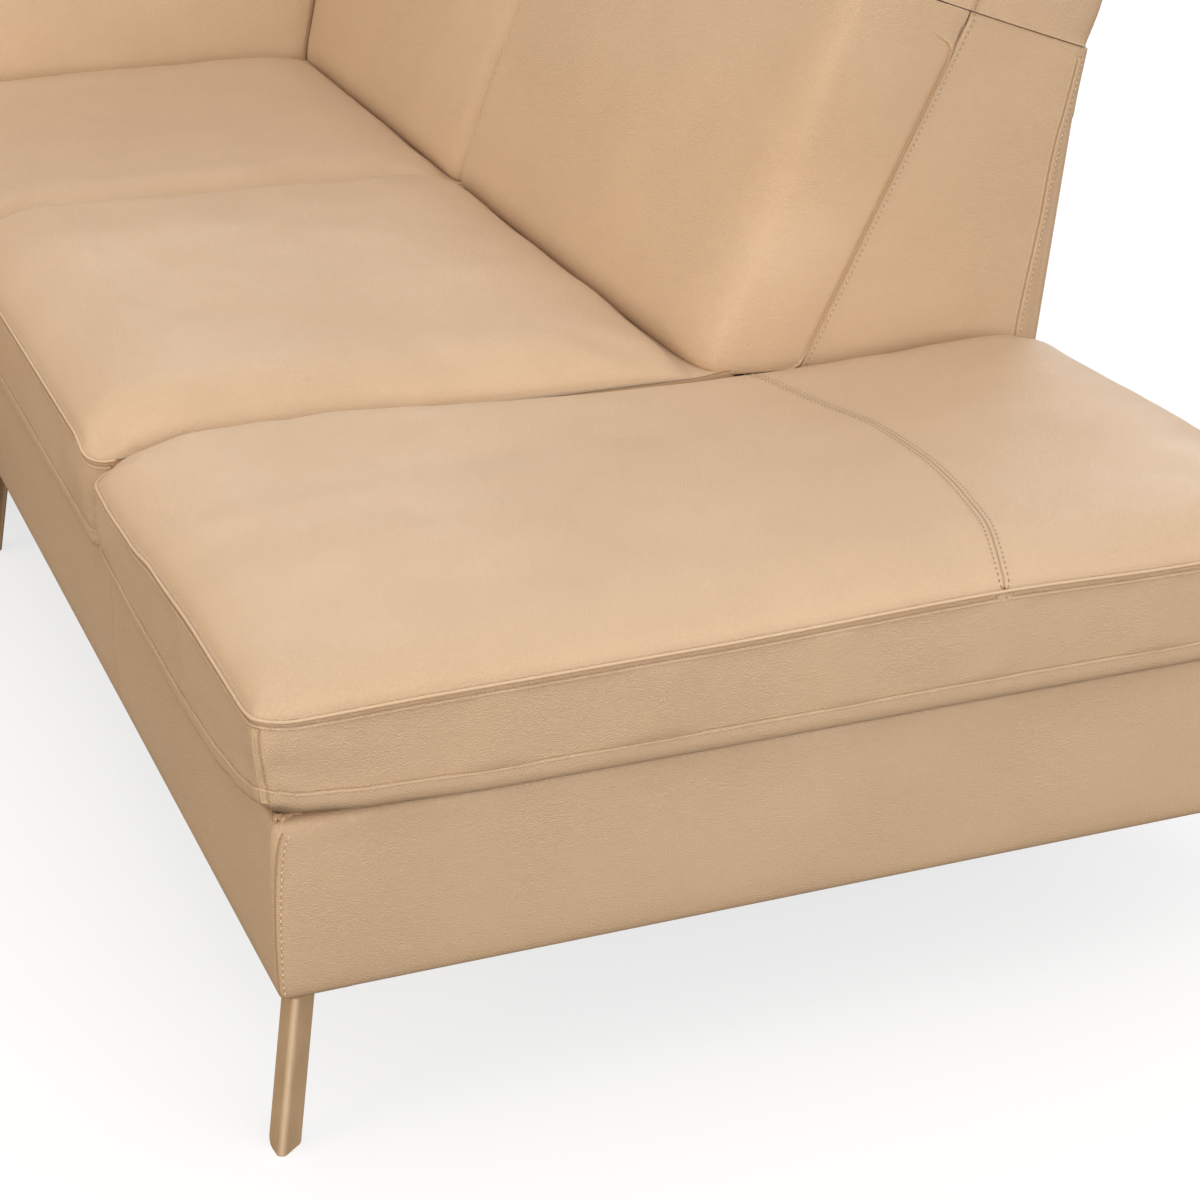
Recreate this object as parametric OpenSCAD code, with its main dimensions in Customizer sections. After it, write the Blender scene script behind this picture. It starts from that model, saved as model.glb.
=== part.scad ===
// Leather corner sofa in three joined units: a return with an open end seat,
// a corner, and a main run with two seats and an arm. Three headrests lift on
// ratchet hinges. Millimetres, +Z up, floor at Z = 0.

/* [Seats] */
// Length of the open end seat, along the return
bumper_len = 620; // [520:10:760]
// Length of the return's seat that has a back
return_seat_len = 800; // [700:10:900]
// Length of each of the two seats on the main run
main_seat_len = 800; // [700:10:900]
// Depth of the return's seats, from the base's front to the back cushion's foot
return_seat_depth = 640; // [580:10:700]
// Depth of the main run's seats, measured the same way
main_seat_depth = 688; // [620:4:740]
// How far the main run's front stands back from the return's last seam
main_setback = 12; // [10:1:30]
// How far the seat cushions stand out past the base
seat_overhang = 12; // [4:1:18]
// How far the seat cushions reach in under the back cushions
seat_tuck = 56; // [30:2:60]
// Height of the seat cushions' piped edge over the deck
seat_edge_h = 100; // [85:1:115]
// Rise of a backed seat cushion's middle over its edge
seat_crown = 36; // [15:1:45]
// Rise of the open end seat's middle over its edge
bumper_crown = 26; // [10:1:40]
// Wall of the padded leather over a seat's foam
seat_wall = 24; // [16:1:32]

/* [Base] */
// Height of the legs
leg_h = 150; // [110:5:180]
// Height of the upholstered base, from its underside to the deck
base_h = 170; // [140:5:200]
// Thickness of the frame's boards
board_t = 25; // [18:1:30]
// Thickness of the padded leather on the base and the back
cover_t = 5; // [3:0.5:7]
// Thickness of the cloth under the base
dust_t = 1; // [0.6:0.1:2]
// Thickness of the elastic webbing
web_t = 1.5; // [1:0.1:2]
// Width of the elastic webbing
web_w = 60; // [40:5:70]
// Largest spacing of the webbing straps
web_pitch = 115; // [90:5:150]

/* [Backs] */
// Depth of the back on the deck, from the back cushion's foot to the rear
back_depth = 420; // [390:5:460]
// Lean of the back cushion's face from upright
face_lean = 22.6; // [20:0.1:24]
// Depth of the back cushion at its foot
pad_foot_t = 132; // [115:1:150]
// Lean of the seam between the back cushion and the back's side panel
seam_lean = 27; // [25:0.5:29]
// Lean of the back's rear face
rear_lean = 6.3; // [4:0.1:8]
// Swell of the back cushion's face
back_crown = 16; // [5:1:24]
// Thickness of the plywood in the backs and headrests
ply_t = 18; // [12:1:21]

/* [Headrests] */
// Height of the headrest hinge over the deck
hinge_rise = 515; // [480:5:540]
// Depth of the hinge behind the back cushion's face
hinge_in = 28; // [26:1:34]
// Downward slope of the headrest's parting towards the rear
split_slope = 20; // [16:1:24]
// Gap between the back's top and the headrest
split_gap = 4; // [3.5:0.1:6]
// Height of the headrest over its parting
headrest_h = 165; // [150:1:200]
// Swell of the headrest
headrest_crown = 8; // [0:1:14]
// Steps of the ratchet
ratchet_steps = 5; // [4:1:6]
// Angle of one step of the ratchet
ratchet_step = 8; // [7:0.5:8]

/* [Ratchet hinge] */
// Radius of the toothed plate, to the tips of its teeth
tooth_r = 20; // [18:0.5:21]
// Depth of a tooth
tooth_h = 2; // [1.4:0.1:2.2]
// Thickness of the toothed plate and the pawl
plate_t = 4; // [3:0.5:5]
// Thickness of the moving arm's cheeks and of the flanges
cheek_t = 2.5; // [2:0.1:3]
// Radius of the hinge pin
pin_r = 3.5; // [3:0.5:4]
// Side clearance between the toothed plate and the cheeks
side_play = 0.3; // [0.2:0.05:0.5]
// Running clearance round the hinge pin
pin_play = 0.05; // [0.02:0.01:0.1]

/* [Arm] */
// Width of the arm
arm_w = 220; // [160:10:280]
// Height of the arm over the deck
arm_rise = 270; // [230:5:300]

/* [Legs and fixings] */
// Width of one face of a folded leg
leg_face = 30; // [24:1:36]
// Metal thickness of the legs
leg_t = 4; // [3:0.5:5]
// Angle between the two faces of a leg
leg_fold = 57; // [50:1:90]
// Outside radius of the fold
leg_bend_r = 5; // [4.5:0.5:7]
// Radius of a support foot at the floor
foot_r = 28; // [20:1:40]
// Radius of the wood screws
screw_r = 2; // [1.5:0.1:2.5]

/* [Hidden] */
$fn = 48;

leather = [0.76, 0.63, 0.5];
timber = [0.8, 0.66, 0.45];
foam = [0.93, 0.88, 0.7];
strap = [0.2, 0.2, 0.21];
cloth = [0.16, 0.16, 0.17];
steel = [0.62, 0.62, 0.64];
metal = [0.72, 0.6, 0.48];
plastic = [0.12, 0.12, 0.12];

// Clearance between pieces that are seated on each other
fit = 0.3;
// Gap between neighbouring units and cushions
unit_gap = 2;
// A cut that runs past what it cuts
past = 1;
// Reach of the cutting blocks, larger than the sofa
huge = 6000;

deck_z = leg_h + base_h;
rail_low = leg_h + dust_t + fit;
rail_top = deck_z - fit - 2 * web_t;
seat_low = deck_z + fit;
seat_edge_z = deck_z + seat_edge_h;
// Foot of the back cushions, just over the tucked part of the seats
pad_foot_z = seat_edge_z + 7;
tuck_z = pad_foot_z - 2;

return_depth = return_seat_depth + back_depth;
main_depth = main_seat_depth + back_depth;
return_len = bumper_len + return_seat_len;
main_front = return_len + main_setback;
corner_y = main_front + main_seat_depth;
rear_y = main_front + main_depth;
main_len = 2 * main_seat_len + arm_w;

hinge_z = deck_z + hinge_rise;
hinge_u = (hinge_z - pad_foot_z) * tan(face_lean) + hinge_in;
range_deg = ratchet_steps * ratchet_step;
// Half of the relief angle in front of the hinge, which closes as a headrest rises
relief = range_deg / 2 + 2;

// Frames of the runs. Each has X as depth from the front, Y along the run.

module in_row() {
    translate([-mid_x, -mid_y, 0]) children();
}

module return_run() {
    in_row() children();
}

module main_run() {
    in_row() translate([0, main_front, 0]) rotate([0, 0, 90]) children();
}

// Back frames: X is depth behind the back cushion's foot
module return_back() {
    return_run() translate([return_seat_depth, 0, 0]) children();
}

module main_back() {
    main_run() translate([main_seat_depth, 0, 0]) children();
}

// Hinge frame: X to the rear along the parting, Z square to it
module at_hinge() {
    translate([hinge_u, 0, hinge_z]) rotate([0, split_slope, 0]) children();
}

// Spans along the runs
return_back_span = [bumper_len, return_len];
right_span = [0, main_seat_len];
left_span = [main_seat_len, 2 * main_seat_len];
corner_side_span = [return_len, rear_y];
corner_rear_span = [-return_depth, 0];

// Lines of a back's side view, in depth behind the cushion's foot and height
function seam_u(z) = pad_foot_t + (z - pad_foot_z) * tan(seam_lean);
function rear_u(z) = back_depth + (z - deck_z) * tan(rear_lean);
function from_hinge(x, z, w = 0) = [
    hinge_u + x * cos(split_slope) + z * sin(split_slope),
    hinge_z - x * sin(split_slope) + z * cos(split_slope),
    w
];
// Point where a leaning line meets a level of the hinge frame
function meet(foot, foot_z, lean, level) =
    let (
        s = sin(split_slope),
        c = cos(split_slope),
        b = tan(lean),
        z = (level + hinge_z * c - (foot - b * foot_z - hinge_u) * s) / (b * s + c)
    )
    [foot + b * (z - foot_z), z];
function rear_at(level, inset = 0) =
    meet(back_depth - inset, deck_z, rear_lean, level);
function seam_at(level, inset = 0) =
    meet(pad_foot_t + inset, pad_foot_z, seam_lean, level);
// Reach of the headrest to the rear, in the hinge frame
function headrest_back() =
    (rear_at(0)[0] - hinge_u) * cos(split_slope) + (hinge_z - rear_at(0)[1]) * sin(split_slope);

// Step from the seam's plane to the ribs, which leaves room for the straps
seam_step = (web_t + 2 * fit) / cos(seam_lean);

// Heights in the hinge frame, from the parting down
top_cover_level = -split_gap / 2;
shelf_top_level = top_cover_level - cover_t;
shelf_low_level = shelf_top_level - ply_t;
rib_level = shelf_low_level - fit;
board_level = split_gap / 2;
shelf_front = 46;
board_front = shelf_front;

// Soft forms: a side view carried along Y, drawn in at its ends, swollen between them
form_end_r = 24;
form_end_in = 12;
pad_end_r = 26;
pad_end_in = 11;
bumper_swell_run = 200;
corner_swell_run = 240;
arm_swell_run = 200;
arm_crown = 8;
arm_pad_h = 50;

function unit_normal(list, i) =
    let (
        n = len(list),
        a = list[(i + n - 1) % n],
        b = list[(i + 1) % n],
        d = [b[0] - a[0], b[1] - a[1]]
    )
    [d[1], -d[0]] / norm(d);
function clamp01(t) = max(0, min(1, t));
function swell(y, y0, y1, flat, rise) =
    sin(90 * clamp01((y - y0 - flat[0]) / rise)) * sin(90 * clamp01((y1 - flat[1] - y) / rise));
function end_inset(y, y0, y1, end_r, end_in) =
    let (t = clamp01(min(y - y0, y1 - y) / end_r))
    end_in * (1 - sqrt(1 - pow(1 - t, 2)));
function stations(y0, y1, end_r, mids) = concat(
    [for (t = [0, 0.2, 0.55, 1]) y0 + t * end_r],
    [for (i = [1:mids]) y0 + end_r + (y1 - y0 - 2 * end_r) * i / (mids + 1)],
    [for (t = [1, 0.55, 0.2, 0]) y1 - t * end_r]
);

module soft_form(outline, y0, y1, crown, flat, rise,
                 end_r = form_end_r, end_in = form_end_in, mids = 5) {
    n = len(outline);
    rows = stations(y0, y1, end_r, mids);
    points = [
        for (y = rows) for (i = [0:n - 1])
            let (
                p = outline[i],
                out = crown * p[2] * swell(y, y0, y1, flat, rise)
                    - end_inset(y, y0, y1, end_r, end_in),
                q = [p[0], p[1]] + unit_normal(outline, i) * out
            )
            [q[0], y, q[1]]
    ];
    sides = [
        for (j = [0:len(rows) - 2]) for (i = [0:n - 1])
            let (a = j * n + i, b = j * n + (i + 1) % n)
            each [[a, b, b + n], [a, b + n, a + n]]
    ];
    last = (len(rows) - 1) * n;
    caps = [[for (i = [n - 1:-1:0]) i], [for (i = [0:n - 1]) last + i]];
    polyhedron(points = points, faces = concat(sides, caps), convexity = 4);
}

// Side view of a seat cushion from depth a to depth b, with its top from edge_a to edge_b
function seat_outline(a, b, edge_a, edge_b, top_a, top_b) = concat(
    [[a + 12, seat_low, 0], [(a + b) / 2, seat_low, 0], [b - 12, seat_low, 0]],
    [[b - 3, seat_low + 8, 0], [b, seat_low + 30, 0], [b, edge_b - 14, 0]],
    [[b - 3, edge_b - 3, 0]],
    [
        for (t = [0, 0.06, 0.16, 0.3, 0.44, 0.58, 0.72, 0.85, 0.95, 1])
            let (w = pow(sin(180 * t), 0.8), x = top_b + (top_a - top_b) * t)
            [x, edge_b + (edge_a - edge_b) * t, w]
    ],
    [[a + 3, edge_a - 3, 0], [a, edge_a - 12, 0], [a - 1, seat_low + 40, 0]],
    [[a + 3, seat_low + 8, 0]]
);

// Cavity of a seat cushion, open below, and the foam core that fills it
module seat_core(x0, x1, y0, y1, play = 0) {
    top = seat_edge_z - seat_wall;
    translate([x0 + seat_wall + play, y0 + seat_wall + play, seat_low - (play > 0 ? 0 : past)])
        cube([
            x1 - x0 - 2 * (seat_wall + play),
            y1 - y0 - 2 * (seat_wall + play),
            top - seat_low - play + (play > 0 ? 0 : past)
        ]);
}

module backed_seat(depth, y0, y1, front, flat = [0, 0]) {
    rear = depth + seat_tuck;
    difference() {
        soft_form(
            seat_outline(front, rear, seat_edge_z, tuck_z, front + 8, depth - 8),
            y0, y1, seat_crown, flat, (y1 - y0) * 0.42
        );
        seat_core(front, rear, y0, y1);
    }
}

// Seats: the span of each, in the frame of its run
seat_half_gap = unit_gap / 2;
bumper_y = [-seat_overhang, bumper_len - seat_half_gap];
return_seat_y = [bumper_len + seat_half_gap, return_len - seat_half_gap];
corner_seat_y = [return_len + seat_half_gap, corner_y + seat_tuck];
right_seat_y = [seat_half_gap, main_seat_len - seat_half_gap];
left_seat_y = [main_seat_len + seat_half_gap, 2 * main_seat_len - seat_half_gap];

module bumper_cushion() {
    rear = return_depth + 2;
    color(leather) return_run() difference() {
        soft_form(
            seat_outline(-seat_overhang, rear, seat_edge_z, seat_edge_z + 8,
                         -seat_overhang + 8, rear - 8),
            bumper_y[0], bumper_y[1], bumper_crown, [0, 0], bumper_swell_run
        );
        seat_core(-seat_overhang, rear, bumper_y[0], bumper_y[1]);
    }
}

module return_seat_cushion() {
    color(leather) return_run()
        backed_seat(return_seat_depth, return_seat_y[0], return_seat_y[1], -seat_overhang);
}

module corner_seat_cushion() {
    color(leather) return_run()
        backed_seat(return_seat_depth, corner_seat_y[0], corner_seat_y[1], seat_half_gap,
                    [0, seat_tuck]);
}

module main_seat_cushion(span) {
    color(leather) main_run()
        backed_seat(main_seat_depth, span[0], span[1], -seat_overhang);
}

module main_seat_cushion_right() {
    main_seat_cushion(right_seat_y);
}

module main_seat_cushion_left() {
    main_seat_cushion(left_seat_y);
}

module seat_foam_cores() {
    color(foam) {
        return_run() {
            seat_core(-seat_overhang, return_depth + 2, bumper_y[0], bumper_y[1], fit);
            rear = return_seat_depth + seat_tuck;
            seat_core(-seat_overhang, rear, return_seat_y[0], return_seat_y[1], fit);
            seat_core(seat_half_gap, rear, corner_seat_y[0], corner_seat_y[1], fit);
        }
        main_run() for (span = [right_seat_y, left_seat_y])
            seat_core(-seat_overhang, main_seat_depth + seat_tuck, span[0], span[1], fit);
    }
}

// Bases: each unit's box in plan, [x0, y0, x1, y1], in the frame of its run
return_box = [0, 0, return_depth, return_len - seat_half_gap];
corner_box = [seat_half_gap, return_len + seat_half_gap, return_depth, rear_y];
main_box = [0, seat_half_gap, main_depth, main_len];

module box(x0, y0, z0, x1, y1, z1) {
    translate([x0, y0, z0]) cube([x1 - x0, y1 - y0, z1 - z0]);
}

block_w = 110;
block_h = 30;

// Boards of one base: two rails along Y, end and cross boards, and blocks for the legs
module base_boards(plan, crosses) {
    in = cover_t + fit;
    x0 = plan[0] + in;
    x1 = plan[2] - in;
    y0 = plan[1] + in;
    y1 = plan[3] - in;
    for (x = [x0, x1 - board_t])
        box(x, y0, rail_low, x + board_t, y1, rail_top);
    bays = crosses + 1;
    for (i = [0:bays]) {
        y = y0 + (y1 - y0 - board_t) * i / bays;
        box(x0 + board_t + fit, y, rail_low, x1 - board_t - fit, y + board_t, rail_top);
    }
    bx = [x0 + board_t + fit, x1 - board_t - fit - block_w];
    by = [y0 + board_t + fit, y1 - board_t - fit - block_w];
    for (x = bx) for (y = by)
        box(x, y, rail_low, x + block_w, y + block_w, rail_low + block_h);
}

module return_base_frame() {
    color(timber) difference() {
        return_run() base_boards(return_box, 2);
        base_holes();
    }
}

module corner_base_frame() {
    color(timber) difference() {
        return_run() base_boards(corner_box, 1);
        base_holes();
    }
}

module main_base_frame() {
    color(timber) difference() {
        main_run() base_boards(main_box, 3);
        base_holes();
    }
}

// Straps from rail to rail, with a second layer across them
module strap_grid(plan) {
    in = cover_t + fit;
    dx = plan[2] - plan[0] - 2 * in;
    dy = plan[3] - plan[1] - 2 * in;
    low = rail_top;
    across = floor(dy / web_pitch);
    along = floor(dx / (web_pitch * 1.6));
    for (i = [1:across]) {
        y = plan[1] + in + dy * i / (across + 1) - web_w / 2;
        box(plan[0] + in, y, low, plan[2] - in, y + web_w, low + web_t);
    }
    for (i = [1:along]) {
        x = plan[0] + in + dx * i / (along + 1) - web_w / 2;
        box(x, plan[1] + in, low + web_t, x + web_w, plan[3] - in, low + 2 * web_t);
    }
}

module seat_webbing() {
    color(strap) {
        return_run() {
            strap_grid(return_box);
            strap_grid(corner_box);
        }
        main_run() strap_grid([main_box[0], main_box[1], main_box[2], 2 * main_seat_len]);
    }
}

cover_low = leg_h;
cover_top = deck_z;

module return_base_cover() {
    b = return_box;
    color(leather) return_run() {
        box(b[0], b[1], cover_low, b[0] + cover_t, b[3], cover_top);
        box(b[2] - cover_t, b[1], cover_low, b[2], b[3], cover_top);
        box(b[0] + cover_t + fit, b[1], cover_low, b[2] - cover_t - fit, b[1] + cover_t,
            cover_top);
    }
}

module corner_base_cover() {
    b = corner_box;
    color(leather) return_run() {
        box(b[2] - cover_t, b[1], cover_low, b[2], b[3], cover_top);
        box(b[0], b[3] - cover_t, cover_low, b[2] - cover_t - fit, b[3], cover_top);
    }
}

module main_base_cover() {
    b = main_box;
    color(leather) main_run() {
        box(b[0], b[1], cover_low, b[0] + cover_t, 2 * main_seat_len, cover_top);
        box(b[2] - cover_t, b[1], cover_low, b[2], 2 * main_seat_len, cover_top);
    }
}

module dust_cover(b) {
    in = cover_t + fit;
    box(b[0] + in, b[1] + in, leg_h, b[2] - in, b[3] - in, leg_h + dust_t);
}

module base_dust_covers() {
    color(cloth) difference() {
        union() {
            return_run() {
                dust_cover(return_box);
                dust_cover(corner_box);
            }
            main_run() dust_cover(main_box);
        }
        base_holes();
    }
}

// Backs

// Side view of the back's hollow body, behind the back cushion
module rib_outline() {
    in = seam_step;
    polygon([
        [seam_u(seat_low) + in, seat_low],
        [rear_u(seat_low) - cover_t - fit, seat_low],
        rear_at(rib_level, cover_t + fit),
        seam_at(rib_level, in)
    ]);
}

// A side view drawn in depth and height, extruded along Y from y0 to y1
module side_plate(y0, y1) {
    translate([0, y1, 0]) rotate([90, 0, 0]) linear_extrude(y1 - y0) children();
}

// A rail square to the seam, low on the ribs' front edge or high on it
rail_w = 70;
module seam_rail(y0, y1, z) {
    translate([seam_u(z) + seam_step, 0, z]) rotate([0, seam_lean, 0])
        box(0, y0, 0, board_t, y1, rail_w);
}

module rear_rail(y0, y1, z) {
    translate([rear_u(z) - cover_t - fit, 0, z]) rotate([0, rear_lean, 0])
        box(-board_t, y0, 0, 0, y1, rail_w);
}

low_rail_z = deck_z + 60;
top_seam_z = seam_at(rib_level)[1] - rail_w * cos(seam_lean) - 18;
top_rear_z = rear_at(rib_level)[1] - rail_w - 14;

module back_boards(y0, y1, ribs, hinged) {
    in = cover_t + fit;
    first = y0 + in;
    last = y1 - in - ply_t;
    for (i = [0:ribs - 1]) {
        y = first + (last - first) * i / (ribs - 1);
        side_plate(y, y + ply_t) rib_outline();
    }
    for (i = [0:ribs - 2]) {
        a = first + (last - first) * i / (ribs - 1) + ply_t + fit;
        b = first + (last - first) * (i + 1) / (ribs - 1) - fit;
        seam_rail(a, b, low_rail_z);
        seam_rail(a, b, top_seam_z);
        rear_rail(a, b, low_rail_z);
        rear_rail(a, b, top_rear_z);
    }
    at_hinge() difference() {
        shelf(y0 + in, y1 - in);
        for (span = hinged) for (y = hinge_places(span)) for (p = flange_holes)
            translate([p[0], y + p[1], shelf_low_level - past])
                cylinder(r = screw_r + pin_play, h = screw_len + past);
    }
}

// Board over the ribs, on which a headrest lies and to which its hinges are fixed
module shelf(y0, y1) {
    back = headrest_back() - cover_t - 6;
    box(shelf_front, y0, shelf_low_level, back, y1, shelf_top_level);
}

// Everything of a back on the return's side of the corner's mitre, and past it
module mitre_side() {
    translate([0, corner_y, 0]) rotate([0, 0, 45])
        box(-huge, -huge, -past, huge, -seat_half_gap, huge);
}

module mitre_rear() {
    translate([0, -return_seat_depth, 0]) rotate([0, 0, -45])
        box(-huge, seat_half_gap, -past, huge, huge, huge);
}

module return_back_frame() {
    color(timber) return_back() back_boards(return_back_span[0], return_back_span[1], 3,
                                                [return_back_span]);
}

module main_back_frame() {
    color(timber) main_back() back_boards(right_span[0], left_span[1], 5,
                                              [right_span, left_span]);
}

module corner_back_frame() {
    color(timber) {
        return_back() {
            intersection() {
                back_boards(corner_side_span[0], corner_side_span[1] + back_depth, 4, []);
                mitre_side();
            }
            short_of_mitre_side(headrest_wall + fit) top_board(corner_side_pad);
        }
        main_back() {
            intersection() {
                back_boards(corner_rear_span[0] - back_depth, corner_rear_span[1], 4, []);
                mitre_rear();
            }
            short_of_mitre_rear(headrest_wall + fit) top_board(corner_rear_pad);
        }
    }
}

// Straps up the front of the ribs, between the cushion and the hollow body
module back_straps(y0, y1) {
    count = floor((y1 - y0) / web_pitch);
    low = low_rail_z;
    high = top_seam_z + rail_w * cos(seam_lean);
    span = (high - low) / cos(seam_lean);
    for (i = [1:count]) {
        y = y0 + (y1 - y0) * i / (count + 1) - web_w / 2;
        translate([seam_u(low) + fit, 0, low]) rotate([0, seam_lean, 0])
            box(0, y, 0, web_t, y + web_w, span);
    }
}

module back_webbing() {
    color(strap) {
        return_back() {
            back_straps(return_back_span[0], return_back_span[1]);
            back_straps(return_len, corner_y + pad_foot_t);
        }
        main_back() {
            back_straps(right_span[0], left_span[1]);
            back_straps(-return_seat_depth - pad_foot_t, 0);
        }
    }
}

// Leather on a back: the rear panel, the strip over the shelf, and side panels
module rear_panel(y0, y1) {
    side_plate(y0, y1) polygon([
        [rear_u(deck_z) - cover_t, deck_z + fit],
        [rear_u(deck_z), deck_z + fit],
        rear_at(top_cover_level),
        rear_at(top_cover_level, cover_t)
    ]);
}

module side_panel(y0) {
    side_plate(y0, y0 + cover_t) polygon([
        [seam_u(seat_low) + web_t, seat_low],
        [rear_u(seat_low) - cover_t - fit, seat_low],
        rear_at(shelf_top_level - fit, cover_t + fit),
        seam_at(shelf_top_level - fit, web_t)
    ]);
}

module top_strip(y0, y1) {
    at_hinge() box(shelf_front, y0, shelf_top_level, headrest_back() - cover_t - 6, y1,
                   top_cover_level);
}

module return_back_cover() {
    span = return_back_span;
    color(leather) return_back() {
        rear_panel(span[0], span[1] - seat_half_gap);
        side_panel(span[0]);
        top_strip(span[0], span[1] - seat_half_gap);
    }
}

module main_back_cover() {
    color(leather) main_back() {
        rear_panel(seat_half_gap, left_span[1]);
        side_panel(left_span[1] - cover_t);
        top_strip(seat_half_gap, left_span[1]);
    }
}

module corner_back_cover() {
    color(leather) {
        return_back() intersection() {
            union() {
                rear_panel(return_len + seat_half_gap, rear_y + back_depth);
                top_strip(return_len + seat_half_gap, rear_y + back_depth);
            }
            mitre_side();
        }
        main_back() intersection() {
            union() {
                rear_panel(-return_depth - back_depth, -seat_half_gap);
                top_strip(-return_depth - back_depth, -seat_half_gap);
            }
            mitre_rear();
        }
    }
}

// Back cushions: the seam plane behind, the leaning face in front, a relief under the headrest
function face_u(z) = (z - pad_foot_z) * tan(face_lean);
pad_top_level = top_cover_level;
relief_drop = hinge_in * tan(relief);
pad_outline = concat(
    [[28, pad_foot_z, 0], [(28 + pad_foot_t) / 2, pad_foot_z, 0]],
    [[pad_foot_t - 4, pad_foot_z, 0]],
    [for (t = [0.25, 0.5, 0.75]) let (p = pad_rear(t)) [p[0], p[1], 0]],
    [let (p = seam_at(pad_top_level, -fit)) [p[0], p[1], 0]],
    [from_hinge(70, pad_top_level), from_hinge(30, pad_top_level)],
    [from_hinge(0, pad_top_level - 0.5)],
    [from_hinge(-hinge_in + 3, pad_top_level - relief_drop, 0.1)],
    [
        for (t = [0.93, 0.84, 0.72, 0.58, 0.44, 0.3, 0.17, 0.07])
            let (z = pad_foot_z + t * (hinge_z - pad_foot_z - relief_drop))
            [face_u(z), z, pow(sin(180 * t), 0.7)]
    ],
    [[8, pad_foot_z + 6, 0.1]]
);
function pad_rear(t) =
    let (top = seam_at(pad_top_level), z = pad_foot_z + t * (top[1] - pad_foot_z))
    [seam_u(z) - fit, z];

// Room in a back cushion's top for the shelf and for the hinges
module pad_cuts(y0, y1) {
    at_hinge() box(shelf_front - cheek_t - 2, y0 - past, shelf_low_level - cheek_t - 2,
                   huge / 10, y1 + past, huge / 10);
}

hinge_slot_w = 2 * cheek_t + plate_t + 2 * side_play + 5;
hinge_slot_r = tooth_r + 3;
flange_w = 44;

// Slots in a back cushion for the brackets' heads and webs
module bracket_slots(span) {
    at_hinge() for (y = hinge_places(span)) {
        in_hinge_plane(hinge_slot_w, y) circle(r = hinge_slot_r);
        box(0, y - hinge_slot_w / 2, web_low - 2, shelf_front, y + hinge_slot_w / 2, past);
    }
}

// Slots in a headrest cushion for the arms, their pawls and the brackets' heads
module arm_slots(span) {
    at_hinge() for (y = hinge_places(span)) {
        in_hinge_plane(hinge_slot_w, y) {
            circle(r = hinge_slot_r);
            translate(pawl_pivot) circle(r = pawl_boss_r + 5);
            polygon([[0, -past], [shelf_front, -past], [shelf_front, arm_h + 4],
                     pawl_pivot + [pawl_boss_r, pawl_boss_r + 2]]);
        }
    }
}

function hinge_places(span) =
    let (len = span[1] - span[0]) [span[0] + len * 0.22, span[1] - len * 0.22];

pad_wall = 30;
module pad_core_outline(play) {
    w = pad_wall + play;
    low = pad_foot_z + w;
    high = hinge_z - 90 - play;
    polygon([
        [face_u(low) + w + 4, low],
        [seam_u(low) - fit + (play > 0 ? -play : past), low],
        [seam_u(high) - fit + (play > 0 ? -play : past), high],
        [face_u(high) + w + 4, high]
    ]);
}

module pad_core(span, play = 0) {
    w = pad_wall + play;
    side_plate(span[0] + w, span[1] - w) pad_core_outline(play);
}

module back_pad(span) {
    difference() {
        soft_form(pad_outline, span[0], span[1], back_crown, [0, 0],
                  (span[1] - span[0]) * 0.4, pad_end_r, pad_end_in, 4);
        pad_cuts(span[0], span[1]);
        pad_core(span);
        children();
    }
}

function inner(span) = [span[0] + seat_half_gap, span[1] - seat_half_gap];

module return_back_cushion() {
    span = inner(return_back_span);
    color(leather) return_back() back_pad(span) bracket_slots(return_back_span);
}

module main_back_cushion_right() {
    color(leather) main_back() back_pad(inner(right_span)) bracket_slots(right_span);
}

module main_back_cushion_left() {
    color(leather) main_back() back_pad(inner(left_span)) bracket_slots(left_span);
}

// The corner's cushions run on past the mitre, where they are cut
mitre_run = hinge_u + headrest_back();
corner_side_pad = [return_len + seat_half_gap, corner_y + mitre_run];
corner_rear_pad = [-return_seat_depth - mitre_run, -seat_half_gap];

module corner_pad(span) {
    difference() {
        soft_form(pad_outline, span[0], span[1], back_crown, [0, 0], corner_swell_run,
                  pad_end_r, pad_end_in, 5);
        pad_cuts(span[0], span[1]);
    }
}

// What it draws, cut a wall's thickness short of the mitre
module short_of_mitre_side(wall) {
    intersection() {
        children();
        translate([0, -wall * sqrt(2), 0]) mitre_side();
    }
}

module short_of_mitre_rear(wall) {
    intersection() {
        children();
        translate([0, wall * sqrt(2), 0]) mitre_rear();
    }
}

module corner_side_back_cushion() {
    color(leather) return_back() difference() {
        intersection() {
            corner_pad(corner_side_pad);
            mitre_side();
        }
        short_of_mitre_side(pad_wall) pad_core(corner_side_pad);
    }
}

module corner_rear_back_cushion() {
    color(leather) main_back() difference() {
        intersection() {
            corner_pad(corner_rear_pad);
            mitre_rear();
        }
        short_of_mitre_rear(pad_wall) pad_core(corner_rear_pad);
    }
}

module back_foam_cores() {
    color(foam) {
        return_back() {
            pad_core(inner(return_back_span), fit);
            short_of_mitre_side(pad_wall + fit) pad_core(corner_side_pad, fit);
            short_of_mitre_side(headrest_wall + fit) top_foam(corner_side_pad);
        }
        main_back() {
            for (span = [right_span, left_span]) pad_core(inner(span), fit);
            short_of_mitre_rear(pad_wall + fit) pad_core(corner_rear_pad, fit);
            short_of_mitre_rear(headrest_wall + fit) top_foam(corner_rear_pad);
        }
    }
}

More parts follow.
